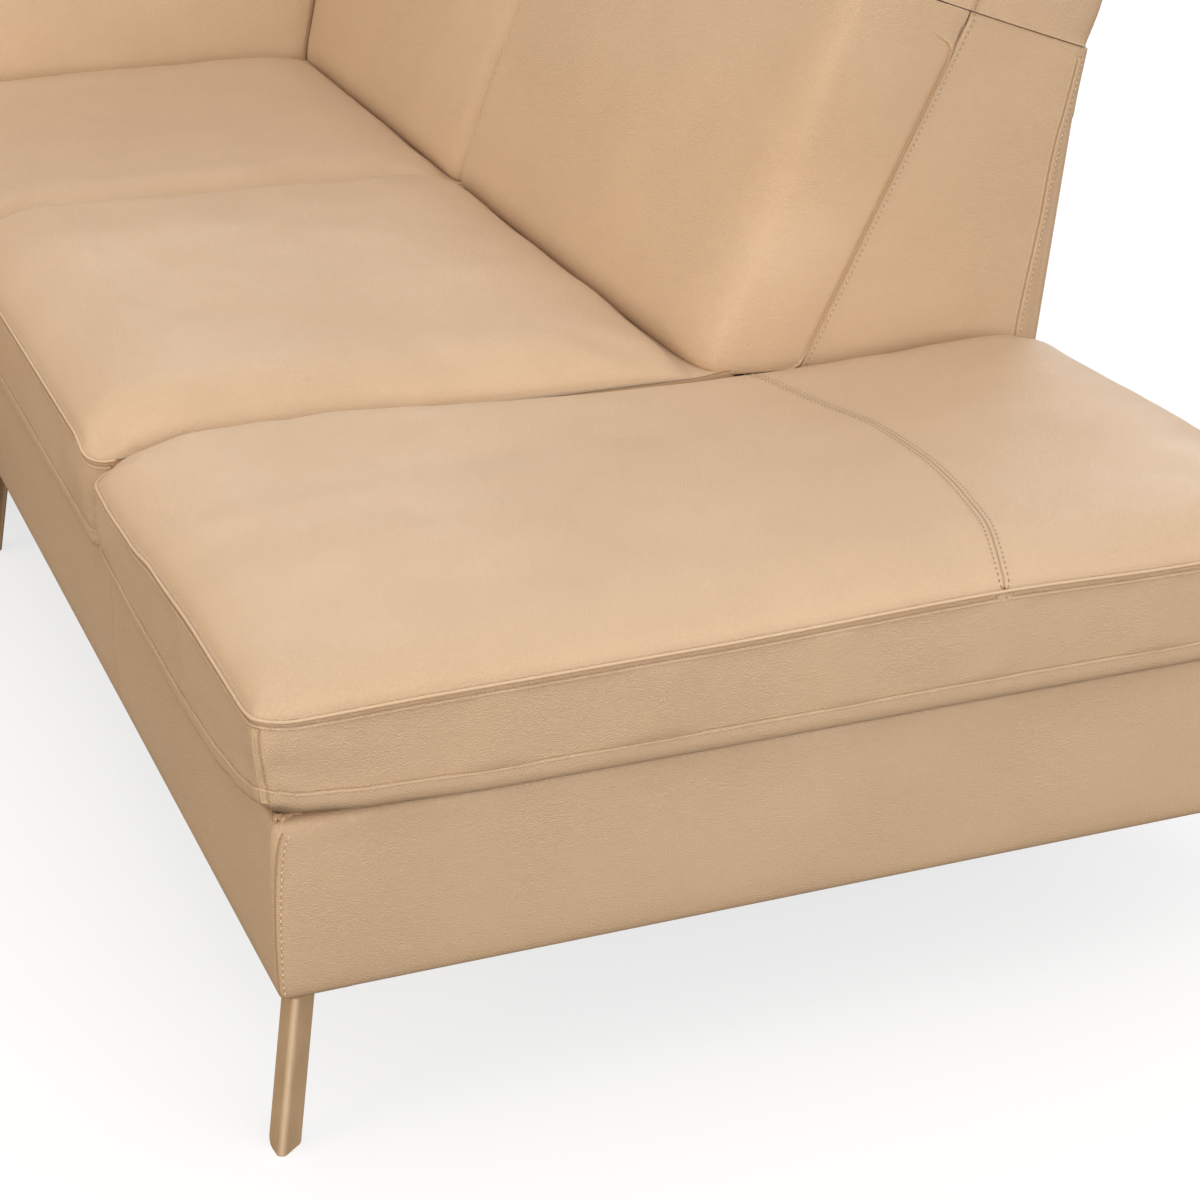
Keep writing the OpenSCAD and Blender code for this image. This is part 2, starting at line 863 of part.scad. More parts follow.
// Headrests, in the hinge frame
headrest_outline =
    let (b = headrest_back(), h = headrest_h, low = board_level, f = hinge_in)
    [
        [0, low + 0.5, 0],
        [40, low, 0],
        [b * 0.45, low, 0],
        [b - 14, low, 0],
        [b - 2, low + 8, 0],
        [b, h * 0.22, 0.3],
        [b - 4, h * 0.42, 0.6],
        [b - 15, h * 0.62, 0.6],
        [b - 34, h * 0.8, 0.6],
        [b - 62, h * 0.93, 0.6],
        [b - 105, h, 0.8],
        [b * 0.46, h * 1.01, 1],
        [b * 0.28, h * 0.98, 1],
        [b * 0.12, h * 0.91, 0.9],
        [-4, h * 0.79, 0.8],
        [-f + 6, h * 0.62, 0.8],
        [-f, h * 0.42, 0.8],
        [-f - 1, h * 0.24, 0.6],
        [-f + 3, low + relief_drop, 0.1]
    ];

// Furthest that the swollen headrest reaches behind the cushion's foot
function headrest_reach() = max([
    for (i = [0:len(headrest_outline) - 1])
        let (
            p = headrest_outline[i],
            q = [p[0], p[1]] + unit_normal(headrest_outline, i) * headrest_crown * p[2]
        )
        from_hinge(q[0], q[1])[0]
]);

headrest_wall = 26;
module headrest_core(span, low, high, play) {
    w = headrest_wall + play;
    box(board_front + play, span[0] + w, low, headrest_back() - w, span[1] - w, high);
}

board_top_level = board_level + ply_t;
core_top = headrest_h - 40;

module headrest_cushion(span) {
    at_hinge() difference() {
        soft_form(headrest_outline, span[0], span[1], headrest_crown, [0, 0],
                  (span[1] - span[0]) * 0.4, pad_end_r, pad_end_in, 4);
        headrest_core(span, -past, core_top, 0);
    }
}

module moving_headrest(span) {
    difference() {
        headrest_cushion(inner(span));
        arm_slots(span);
    }
}

module return_headrest_cushion() {
    color(leather) return_back() moving_headrest(return_back_span);
}

module right_headrest_cushion() {
    color(leather) main_back() moving_headrest(right_span);
}

module left_headrest_cushion() {
    color(leather) main_back() moving_headrest(left_span);
}

module corner_top(span) {
    at_hinge() soft_form(headrest_outline, span[0], span[1], headrest_crown, [0, 0],
                         corner_swell_run, pad_end_r, pad_end_in, 5);
}

module corner_side_top_cushion() {
    color(leather) return_back() difference() {
        intersection() {
            corner_top(corner_side_pad);
            mitre_side();
        }
        short_of_mitre_side(headrest_wall)
            at_hinge() headrest_core(corner_side_pad, -past, core_top, 0);
    }
}

module corner_rear_top_cushion() {
    color(leather) main_back() difference() {
        intersection() {
            corner_top(corner_rear_pad);
            mitre_rear();
        }
        short_of_mitre_rear(headrest_wall)
            at_hinge() headrest_core(corner_rear_pad, -past, core_top, 0);
    }
}

// Board and foam in a corner's top cushion, and the battens that the board lies on
batten = [40, 130];
batten_w = 50;
module top_board(span) {
    at_hinge() {
        headrest_core(span, board_level, board_top_level, fit);
        for (x = batten)
            box(shelf_front + x, span[0] + headrest_wall, top_cover_level + fit,
                shelf_front + x + batten_w, span[1] - headrest_wall, board_level - fit);
    }
}

module top_foam(span) {
    at_hinge() headrest_core(span, board_top_level + fit, core_top - fit, fit);
}

// Board in a headrest's underside, drilled for the hinges' screws
module headrest_board(span) {
    at_hinge() difference() {
        headrest_core(inner(span), board_level, board_top_level, fit);
        for (y = hinge_places(span)) for (p = flange_holes)
            translate([p[0], y + p[1], board_level - past])
                cylinder(r = screw_r + pin_play, h = screw_len + past);
    }
}

module return_headrest_board() {
    color(timber) return_back() headrest_board(return_back_span);
}

module right_headrest_board() {
    color(timber) main_back() headrest_board(right_span);
}

module left_headrest_board() {
    color(timber) main_back() headrest_board(left_span);
}

module headrest_foam(span) {
    color(foam) top_foam(inner(span));
}

module return_headrest_foam() {
    return_back() headrest_foam(return_back_span);
}

module right_headrest_foam() {
    main_back() headrest_foam(right_span);
}

module left_headrest_foam() {
    main_back() headrest_foam(left_span);
}

// Ratchet hinges, in the hinge frame. The bracket's toothed head and the pawl share one
// plane. The arm's two cheeks run on either side of it and carry the pawl's pivot.

flange_x = [shelf_front + 2, shelf_front + 74];
flange_holes = [
    for (x = [flange_x[0] + 14, flange_x[1] - 14]) for (y = [-14, 14]) [x, y]
];
screw_len = 14;
head_r = 2 * screw_r;
head_t = 1;
cheek_r = tooth_r - tooth_h - 2.5;
arm_h = 12;
web_low = shelf_low_level - fit - cheek_t;
tooth_root_r = tooth_r - tooth_h;
hub_r = tooth_root_r - 0.6;
// Angle of the gap in which the pawl rests, and place of the pawl's pivot
latch_angle = 35;
pawl_pivot_r = tooth_r + 6;
pawl_pivot_angle = latch_angle + 28;
pawl_pivot = polar(pawl_pivot_r, pawl_pivot_angle);
pawl_boss_r = 3.4;
pawl_pin_r = 1.8;
// Part of a step that a tooth's steep side takes
tooth_drop = 0.8;

function polar(r, a) = [r * cos(a), r * sin(a)];

// Teeth of the bracket's head, on the arc that the pawl passes. Each rises slowly and
// drops at once, so a headrest lifts freely and can't fall back.
tooth_first = latch_angle - ratchet_step;
tooth_count = ratchet_steps + 2;
tooth_points = concat(
    [
        for (i = [0:tooth_count - 1]) let (a = tooth_first + i * ratchet_step)
            each [polar(tooth_root_r, a), polar(tooth_r, a + ratchet_step - tooth_drop)]
    ],
    [polar(tooth_root_r, tooth_first + tooth_count * ratchet_step)]
);

module in_hinge_plane(t, y) {
    translate([0, y + t / 2, 0]) rotate([90, 0, 0]) linear_extrude(t) children();
}

module bracket_outline() {
    difference() {
        union() {
            circle(r = hub_r);
            polygon(concat([[0, 0]], tooth_points));
            polygon([
                polar(hub_r - 1, 200), [8, web_low], [shelf_front, web_low],
                [shelf_front, shelf_top_level], polar(hub_r - 1, -20)
            ]);
        }
        circle(r = pin_r + pin_play);
    }
}

module ratchet_bracket(y) {
    in_hinge_plane(plate_t, y) bracket_outline();
    difference() {
        box(shelf_front - cheek_t, y - flange_w / 2, web_low, flange_x[1],
            y + flange_w / 2, web_low + cheek_t);
        for (p = flange_holes) translate([p[0], y + p[1], web_low - past])
            cylinder(r = screw_r + 0.2, h = cheek_t + 2 * past);
    }
}

module ratchet_brackets() {
    color(steel) {
        return_back() at_hinge() for (y = hinge_places(return_back_span)) ratchet_bracket(y);
        main_back() at_hinge() for (span = [right_span, left_span])
            for (y = hinge_places(span)) ratchet_bracket(y);
    }
}

cheek_y = plate_t / 2 + side_play + cheek_t / 2;
// Flange of an arm, just under the headrest's board
arm_top_level = board_level - fit;
arm_low = arm_top_level - cheek_t / 2;

module cheek_outline() {
    difference() {
        union() {
            circle(r = cheek_r);
            polygon([
                polar(cheek_r, latch_angle + 60), polar(pawl_pivot_r + 4.5, latch_angle + 36),
                polar(pawl_pivot_r + 4.5, latch_angle + 20), [shelf_front, arm_h],
                [shelf_front, arm_low], polar(cheek_r - 1, -5)
            ]);
        }
        circle(r = pin_r + pin_play);
        translate(pawl_pivot) circle(r = pawl_pin_r + pin_play);
    }
}

// Moving arm: two cheeks joined by a flange that is screwed up into the headrest's board
module ratchet_arm(y) {
    for (side = [-1, 1]) in_hinge_plane(cheek_t, y + side * cheek_y) cheek_outline();
    difference() {
        box(shelf_front - cheek_t, y - flange_w / 2, arm_low, flange_x[1], y + flange_w / 2,
            arm_top_level);
        for (p = flange_holes) translate([p[0], y + p[1], arm_low - past])
            cylinder(r = screw_r + 0.2, h = cheek_t + 2 * past);
    }
}

module ratchet_arms(span) {
    color(steel) at_hinge() for (y = hinge_places(span)) ratchet_arm(y);
}

module return_ratchet_arms() {
    return_back() ratchet_arms(return_back_span);
}

module right_ratchet_arms() {
    main_back() ratchet_arms(right_span);
}

module left_ratchet_arms() {
    main_back() ratchet_arms(left_span);
}

// Pawl: a lever on its own pivot. It is drawn lifted, with its nose just over the teeth,
// as it passes them.
pawl_play = 0.3;
module pawl_outline() {
    a = latch_angle;
    nose_r = tooth_r + pawl_play;
    difference() {
        union() {
            translate(pawl_pivot) circle(r = pawl_boss_r);
            polygon([
                polar(nose_r, a + 1.2), polar(nose_r, a + 3),
                polar(nose_r + 1, a + 6), polar(nose_r + 1, a + 16),
                polar(pawl_pivot_r - pawl_boss_r, pawl_pivot_angle),
                polar(pawl_pivot_r + pawl_boss_r, pawl_pivot_angle),
                polar(nose_r + 4.5, a + 10), polar(nose_r + 2.4, a + 1.4)
            ]);
        }
        translate(pawl_pivot) circle(r = pawl_pin_r + pin_play);
    }
}

module pawls(span) {
    pin_len = plate_t + 2 * (side_play + cheek_t) + 1;
    color(steel) at_hinge() for (y = hinge_places(span)) {
        in_hinge_plane(plate_t - 2 * side_play, y) pawl_outline();
        in_hinge_plane(pin_len, y) translate(pawl_pivot) circle(r = pawl_pin_r);
    }
}

module return_pawls() {
    return_back() pawls(return_back_span);
}

module right_pawls() {
    main_back() pawls(right_span);
}

module left_pawls() {
    main_back() pawls(left_span);
}

// Riveted hinge pin with a head at each end
module ratchet_pin(y) {
    inside = plate_t + 2 * (side_play + cheek_t) + 2 * side_play;
    in_hinge_plane(inside, y) circle(r = pin_r);
    for (side = [-1, 1])
        in_hinge_plane(1.5, y + side * (inside + 1.5) / 2) circle(r = pin_r + 2);
}

module ratchet_pins() {
    color(steel) {
        return_back() at_hinge() for (y = hinge_places(return_back_span)) ratchet_pin(y);
        main_back() at_hinge() for (span = [right_span, left_span])
            for (y = hinge_places(span)) ratchet_pin(y);
    }
}

// Screws up through the brackets' flanges into the shelf
module screw(x, y, z, len) {
    translate([x, y, z - head_t]) cylinder(r = head_r, h = head_t);
    translate([x, y, z - head_t]) cylinder(r = screw_r, h = len + head_t);
}

module bracket_screws(span) {
    at_hinge() for (y = hinge_places(span)) for (p = flange_holes)
        screw(p[0], y + p[1], web_low - fit, screw_len);
}

module hinge_screws() {
    color(steel) {
        return_back() bracket_screws(return_back_span);
        main_back() {
            bracket_screws(right_span);
            bracket_screws(left_span);
        }
    }
}

// Screws up through the arms' flanges into a headrest's board
module headrest_screws(span) {
    color(steel) at_hinge() for (y = hinge_places(span)) for (p = flange_holes)
        screw(p[0], y + p[1], arm_low - fit / 2, screw_len);
}

module return_headrest_screws() {
    return_back() headrest_screws(return_back_span);
}

module right_headrest_screws() {
    main_back() headrest_screws(right_span);
}

module left_headrest_screws() {
    main_back() headrest_screws(left_span);
}

// Arm at the main run's far end
arm_y = [2 * main_seat_len + fit, main_len];
arm_top = deck_z + arm_rise;
arm_board_top = arm_top - arm_pad_h;

module arm_frame() {
    in = cover_t + fit;
    color(timber) main_run() {
        for (y = [arm_y[0] + in, arm_y[1] - in - ply_t])
            box(in, y, deck_z + fit, main_depth - in, y + ply_t, arm_board_top - ply_t - fit);
        for (x = [in, main_depth * 0.5, main_depth - in - ply_t])
            box(x, arm_y[0] + in + ply_t + fit, deck_z + fit, x + ply_t,
                arm_y[1] - in - ply_t - fit, arm_board_top - ply_t - fit);
        box(in, arm_y[0] + in, arm_board_top - ply_t, main_depth - in, arm_y[1] - in,
            arm_board_top);
    }
}

module arm_cover() {
    y0 = arm_y[0];
    y1 = arm_y[1];
    side_x = [cover_t + fit, main_depth - cover_t - fit];
    color(leather) main_run() {
        box(0, y0, cover_low, cover_t, y1, arm_board_top);
        box(main_depth - cover_t, y0, cover_low, main_depth, y1, arm_board_top);
        box(side_x[0], y1 - cover_t, cover_low, side_x[1], y1, arm_board_top);
        box(side_x[0], y0, deck_z + fit, side_x[1], y0 + cover_t, arm_board_top);
    }
}

arm_pad_outline =
    let (a = 2, b = arm_w - 2, low = arm_board_top + fit, high = arm_top)
    [
        [a + 8, low, 0], [(a + b) / 2, low, 0], [b - 8, low, 0], [b, low + 10, 0],
        [b, high - 18, 0], [b - 8, high - 6, 0], [b - 30, high, 0.5],
        [(a + b) / 2, high + 2, 1], [a + 30, high, 0.5], [a + 8, high - 6, 0],
        [a, high - 18, 0], [a, low + 10, 0]
    ];

module arm_pad() {
    color(leather) main_run() translate([0, 2 * main_seat_len, 0]) rotate([0, 0, 90])
        soft_form(arm_pad_outline, -main_depth + 2, 4, arm_crown, [0, 0], arm_swell_run,
                  form_end_r, form_end_in, 5);
}

// Legs: folded metal blades that splay out from the base's corners, welded to a plate

// Foot and top of a blade's fold, from the base's corner
leg_foot = [-9, -9];
leg_head = [15, 6];
leg_turn = 67;
plate_h = 3;
leg_plate = [62, 62];
leg_plate_at = [8, 8];

function arc_points(c, r, a0, a1, n) = [for (i = [0:n]) c + polar(r, a0 + (a1 - a0) * i / n)];

// Section of a blade, with the nose of its fold at the origin and its faces running back
function blade_section() =
    let (
        half = leg_fold / 2,
        c = [leg_bend_r, 0],
        apex = leg_bend_r - leg_bend_r / sin(half),
        in_r = max(0.5, leg_bend_r - leg_t),
        ends = [apex + leg_face * cos(half), leg_face * sin(half)],
        n = [-sin(half), cos(half)],
        upper = [ends, [ends[0] - n[0] * leg_t, ends[1] - n[1] * leg_t]]
    )
    concat(
        [upper[1], upper[0]],
        arc_points(c, leg_bend_r, 90 + half, 270 - half, 8),
        [[upper[0][0], -upper[0][1]], [upper[1][0], -upper[1][1]]],
        arc_points(c, in_r, 270 - half, 90 + half, 6)
    );

// Furthest that a foot reaches past its corner of the base, along X
function leg_lean() = leg_head - leg_foot;
function leg_tilt() = atan(norm(leg_lean()) / leg_h);
function leg_way() = atan2(leg_lean()[1], leg_lean()[0]);
function turned(p, a) = [p[0] * cos(a) - p[1] * sin(a), p[0] * sin(a) + p[1] * cos(a)];
function leg_reach() = -min([
    for (p = blade_section())
        let (q = turned(p, leg_turn - leg_way()))
        leg_foot[0] + turned([q[0] / cos(leg_tilt()), q[1]], leg_way())[0]
]);

module blade() {
    tilt = leg_tilt();
    way = leg_way();
    top = leg_h - plate_h;
    intersection() {
        translate([leg_foot[0], leg_foot[1], 0])
            rotate([0, 0, way]) rotate([0, tilt, 0]) rotate([0, 0, leg_turn - way])
            translate([0, 0, -leg_h / 2]) linear_extrude(2 * leg_h) polygon(blade_section());
        box(-leg_h, -leg_h, 0, leg_h, leg_h, top + past);
    }
}

leg_screw_at = [
    for (x = [14, leg_plate[0] - 14]) for (y = [38, leg_plate[1] - 8]) leg_plate_at + [x, y]
];
leg_screw_len = 20;

module leg() {
    blade();
    difference() {
        translate([leg_plate_at[0], leg_plate_at[1], leg_h - plate_h])
            cube([leg_plate[0], leg_plate[1], plate_h - fit]);
        for (p = leg_screw_at) translate([p[0], p[1], leg_h - plate_h - past])
            cylinder(r = screw_r + 0.2, h = plate_h + 2 * past);
    }
}

// Corners that have a leg: place and the way each axis faces
leg_corners = [
    [0, 0, 1, 1],
    [return_depth, 0, -1, 1],
    [0, return_len - seat_half_gap, 1, -1],
    [return_depth, rear_y, -1, -1],
    [-main_len, main_front, 1, 1],
    [-main_len, rear_y, 1, -1]
];

module at_corners() {
    in_row() for (c = leg_corners) translate([c[0], c[1], 0])
        mirror([c[2] < 0 ? 1 : 0, 0, 0]) mirror([0, c[3] < 0 ? 1 : 0, 0]) children();
}

module blade_legs() {
    color(metal) at_corners() leg();
}

module leg_screws() {
    color(steel) at_corners() for (p = leg_screw_at)
        screw(p[0], p[1], leg_h - plate_h - fit, leg_screw_len);
}

// Plain feet under the hidden corners and the long spans
foot_in = 90;
foot_flange_t = 6;
feet = [
    [return_depth - foot_in, return_len - foot_in],
    [foot_in, return_len + foot_in],
    [return_depth - foot_in, return_len + foot_in],
    [foot_in, rear_y - foot_in],
    [-foot_in, main_front + foot_in],
    [-foot_in, rear_y - foot_in],
    [-main_seat_len, main_front + foot_in * 2],
    [-main_seat_len, rear_y - foot_in]
];

module support_feet() {
    color(plastic) in_row() for (p = feet) translate([p[0], p[1], 0]) {
        cylinder(r1 = foot_r * 0.8, r2 = foot_r, h = leg_h - fit);
        translate([0, 0, leg_h - fit - foot_flange_t])
            cylinder(r = foot_r * 1.4, h = foot_flange_t);
    }
}

// Steel plates that tie neighbouring units together under their rails
tie = [76, 60, 3];
tie_low = leg_h - fit - tie[2];
tie_holes = [for (x = [-1, 1]) for (y = [-18, 18]) [x * (cover_t + fit + board_t / 2 + 1), y]];
tie_screw_len = 22;
// Middle of each plate and its turn
ties = [
    [200, return_len, 90],
    [return_depth - 200, return_len, 90],
    [0, main_front + 200, 0],
    [0, rear_y - 200, 0]
];

module at_ties() {
    in_row() for (t = ties) translate([t[0], t[1], 0]) rotate([0, 0, t[2]]) children();
}

module joining_plates() {
    color(steel) at_ties() difference() {
        translate([-tie[0] / 2, -tie[1] / 2, tie_low]) cube(tie);
        for (p = tie_holes) translate([p[0], p[1], tie_low - past])
            cylinder(r = screw_r + 0.2, h = tie[2] + 2 * past);
    }
}

module joining_screws() {
    color(steel) at_ties() for (p = tie_holes)
        screw(p[0], p[1], tie_low - fit, tie_screw_len);
}

// Pilot holes for the screws of the legs and the joining plates
module base_holes() {
    at_corners() for (p = leg_screw_at) translate([p[0], p[1], leg_h - past])
        cylinder(r = screw_r + pin_play, h = leg_screw_len + past);
    at_ties() for (p = tie_holes) translate([p[0], p[1], leg_h - past])
        cylinder(r = screw_r + pin_play, h = tie_screw_len + past);
}

// Overall box, which sets the origin: the middle of its underside
bound_x = [-main_len - leg_reach(), return_seat_depth + headrest_reach()];
bound_y = [-seat_overhang, main_front + main_seat_depth + headrest_reach()];
mid_x = (bound_x[0] + bound_x[1]) / 2;
mid_y = (bound_y[0] + bound_y[1]) / 2;

return_base_frame();
corner_base_frame();
main_base_frame();
seat_webbing();
return_base_cover();
corner_base_cover();
main_base_cover();
base_dust_covers();
seat_foam_cores();
bumper_cushion();
return_seat_cushion();
corner_seat_cushion();
main_seat_cushion_right();
main_seat_cushion_left();
return_back_frame();
corner_back_frame();
main_back_frame();
back_webbing();
return_back_cover();
corner_back_cover();
main_back_cover();
back_foam_cores();
return_back_cushion();
corner_side_back_cushion();
corner_rear_back_cushion();
main_back_cushion_right();
main_back_cushion_left();
corner_side_top_cushion();
corner_rear_top_cushion();
return_headrest_cushion();
right_headrest_cushion();
left_headrest_cushion();
return_headrest_board();
right_headrest_board();
left_headrest_board();
return_headrest_foam();
right_headrest_foam();
left_headrest_foam();
return_ratchet_arms();
right_ratchet_arms();
left_ratchet_arms();
return_pawls();
right_pawls();
left_pawls();
ratchet_brackets();
ratchet_pins();
hinge_screws();
return_headrest_screws();
right_headrest_screws();
left_headrest_screws();
arm_frame();
arm_cover();
arm_pad();
blade_legs();
leg_screws();
support_feet();
joining_plates();
joining_screws();
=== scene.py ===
"""Leather corner sofa: soft forms, seams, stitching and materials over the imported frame.

Lengths are millimetres until to_row() turns them into metres in the frame's own axes.
X runs back from the return's front, Y along the return from its open end, Z up.
"""
import math

import bmesh
import bpy
from mathutils import Matrix, Vector, noise
from mathutils.bvhtree import BVHTree


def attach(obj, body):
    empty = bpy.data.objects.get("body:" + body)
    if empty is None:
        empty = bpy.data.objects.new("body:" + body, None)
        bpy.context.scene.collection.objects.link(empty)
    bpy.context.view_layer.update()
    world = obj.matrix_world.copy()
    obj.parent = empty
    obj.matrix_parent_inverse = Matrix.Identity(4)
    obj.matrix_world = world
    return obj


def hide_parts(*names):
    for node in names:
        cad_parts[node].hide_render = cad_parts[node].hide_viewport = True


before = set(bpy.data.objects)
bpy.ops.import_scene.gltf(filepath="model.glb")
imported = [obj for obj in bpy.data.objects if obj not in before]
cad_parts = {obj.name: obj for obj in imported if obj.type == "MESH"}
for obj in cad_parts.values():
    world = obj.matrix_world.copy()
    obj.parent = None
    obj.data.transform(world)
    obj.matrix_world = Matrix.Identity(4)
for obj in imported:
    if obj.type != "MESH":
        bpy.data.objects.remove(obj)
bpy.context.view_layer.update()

# Middle of the plan, measured from the return's front corner
MID = Vector((-351.06726, 1299.874146, 0.0))

# Sizes shared with the solids
LEG_H, DECK, SEAT_LOW, FOOT_Z = 150.0, 320.0, 320.3, 427.0
RETURN_SEAT, MAIN_SEAT, BACK = 640.0, 688.0, 420.0
# How far the seats stand out in front of the base, and how far they run in under the backs
SEAT_OUT, UNDER_BACK = 12.0, 56.0
BUMPER, SEAT_LEN, ARM_W = 620.0, 800.0, 220.0
RETURN_LEN = BUMPER + SEAT_LEN
MAIN_FRONT = RETURN_LEN + SEAT_OUT
CORNER_Y = MAIN_FRONT + MAIN_SEAT
REAR_Y = CORNER_Y + BACK
RETURN_DEPTH, MAIN_DEPTH = RETURN_SEAT + BACK, MAIN_SEAT + BACK
MAIN_LEN = 2 * SEAT_LEN + ARM_W
# Slopes of a back's face, of its side seam and of its rear, and how far back the seam starts
FACE, SEAM, REAR = (math.tan(math.radians(a)) for a in (22.6, 27.0, 6.3))
SEAM_FOOT = 132.0
HINGE_U, HINGE_Z = 197.834, 835.0
# The parting under the headrests falls to the rear at this angle
SPLIT = math.radians(20.0)
HEAD_BACK, HEAD_H = 285.46, 165.0
# Half the gap between two cushions
HALF_GAP = 1.0


def to_row(p):
    return (Vector(p) - MID) * 0.001


def on_return(p):
    return p


def on_main(p):
    """The main run: depth back from its front, length to the left, height."""
    return (-p[1], MAIN_FRONT + p[0], p[2])


def return_back(p):
    return (RETURN_SEAT + p[0], p[1], p[2])


def main_back(p):
    return (-p[1], CORNER_Y + p[0], p[2])


def hinge_point(x, z):
    """From the hinge frame, X to the rear along the parting, to depth and height."""
    return (HINGE_U + x * math.cos(SPLIT) + z * math.sin(SPLIT),
            HINGE_Z - x * math.sin(SPLIT) + z * math.cos(SPLIT))


def face_u(z):
    return (z - FOOT_Z) * FACE


def seam_u(z):
    return SEAM_FOOT + (z - FOOT_Z) * SEAM


def rear_u(z):
    return BACK + (z - DECK) * REAR


def smooth(t):
    t = max(0.0, min(1.0, t))
    return t * t * (3 - 2 * t)


def arch(d, run):
    """Quarter ellipse that rises from 0 at an edge to 1 at run."""
    t = 1 - min(max(d, 0.0) / run, 1.0)
    return math.sqrt(max(0.0, 1 - t * t))


def along(table, s):
    """Smooth value between (place, value) pairs."""
    if s <= table[0][0]:
        return table[0][1]
    for (a, va), (b, vb) in zip(table, table[1:]):
        if s <= b:
            return va + (vb - va) * smooth((s - a) / (b - a))
    return table[-1][1]


def ripple(x, y, z, size=1.0):
    """Smooth random height at a place."""
    return noise.noise(Vector((x, y, z))) * size


def linked(name, data):
    obj = bpy.data.objects.new(name, data)
    bpy.context.scene.collection.objects.link(obj)
    return obj


# Node materials

class Nodes:
    """A small builder for node trees."""

    def __init__(self, name):
        self.mat = bpy.data.materials.new(name)
        self.mat.use_nodes = True
        self.tree = self.mat.node_tree
        self.tree.nodes.clear()
        out, self.shader = self.new("OutputMaterial"), self.new("BsdfPrincipled")
        self.link(self.shader.outputs[0], out.inputs[0])
        self.place = self.new("TexCoord").outputs["Object"]

    def new(self, kind, place=None, **values):
        """A node with its inputs set, fed with places when place is given."""
        n = self.tree.nodes.new("ShaderNode" + kind)
        for key, value in values.items():
            n.inputs[key].default_value = value
        if place:
            self.link(place, n.inputs["Vector"])
        return n

    def link(self, a, b):
        self.tree.links.new(a, b)

    def put(self, socket, value):
        if hasattr(value, "is_output"):
            self.link(value, socket)
        else:
            socket.default_value = value

    def noise(self, scale, detail=3.0, rough=0.5, place=None, distort=0.0):
        return self.new("TexNoise", place or self.place, Scale=scale, Detail=detail, Roughness=rough,
                        Distortion=distort).outputs[0]

    def cells(self, scale, feature="DISTANCE_TO_EDGE", place=None):
        n = self.new("TexVoronoi", place or self.place, Scale=scale)
        n.feature = feature
        return n.outputs["Distance"]

    def wave(self, scale, distort=0.0, direction="X", detail=2.0, place=None):
        n = self.new("TexWave", place or self.place, Scale=scale, Distortion=distort, Detail=detail)
        n.bands_direction = direction
        return n.outputs["Fac"]

    def math(self, kind, a, b=0.0):
        n = self.new("Math")
        n.operation = kind
        self.put(n.inputs[0], a)
        self.put(n.inputs[1], b)
        return n.outputs[0]

    def ranged(self, value, a, b, low, high):
        n = self.new("MapRange")
        n.interpolation_type = "SMOOTHSTEP"
        self.put(n.inputs[0], value)
        for i, x in enumerate((a, b, low, high)):
            n.inputs[i + 1].default_value = x
        return n.outputs[0]

    def paint(self, socket, color):
        self.put(socket, color if hasattr(color, "is_output") else (*color, 1.0))

    def mix(self, fac, a, b):
        n = self.new("Mix")
        n.data_type = "RGBA"
        self.put(n.inputs[0], fac)
        self.paint(n.inputs[6], a)
        self.paint(n.inputs[7], b)
        return n.outputs[2]

    def stretched(self, scale):
        return self.new("Mapping", self.place, Scale=scale).outputs[0]

    def attribute(self, name):
        n = self.new("Attribute")
        n.attribute_name = name
        return n.outputs["Fac"]

    def bump(self, height, distance, strength=1.0, normal=None):
        n = self.new("Bump", Strength=strength, Distance=distance)
        self.link(height, n.inputs["Height"])
        if normal:
            self.link(normal, n.inputs["Normal"])
        return n.outputs[0]

    def finish(self, color, rough, normal=None, metal=0.0, **constants):
        s = self.shader.inputs
        self.paint(s["Base Color"], color)
        self.put(s["Roughness"], rough)
        s["Metallic"].default_value = metal
        if normal:
            self.link(normal, s["Normal"])
        for key, value in constants.items():
            s[key.replace("_", " ")].default_value = value
        return self.mat


LEATHER_COLOR = (0.598, 0.413, 0.256)


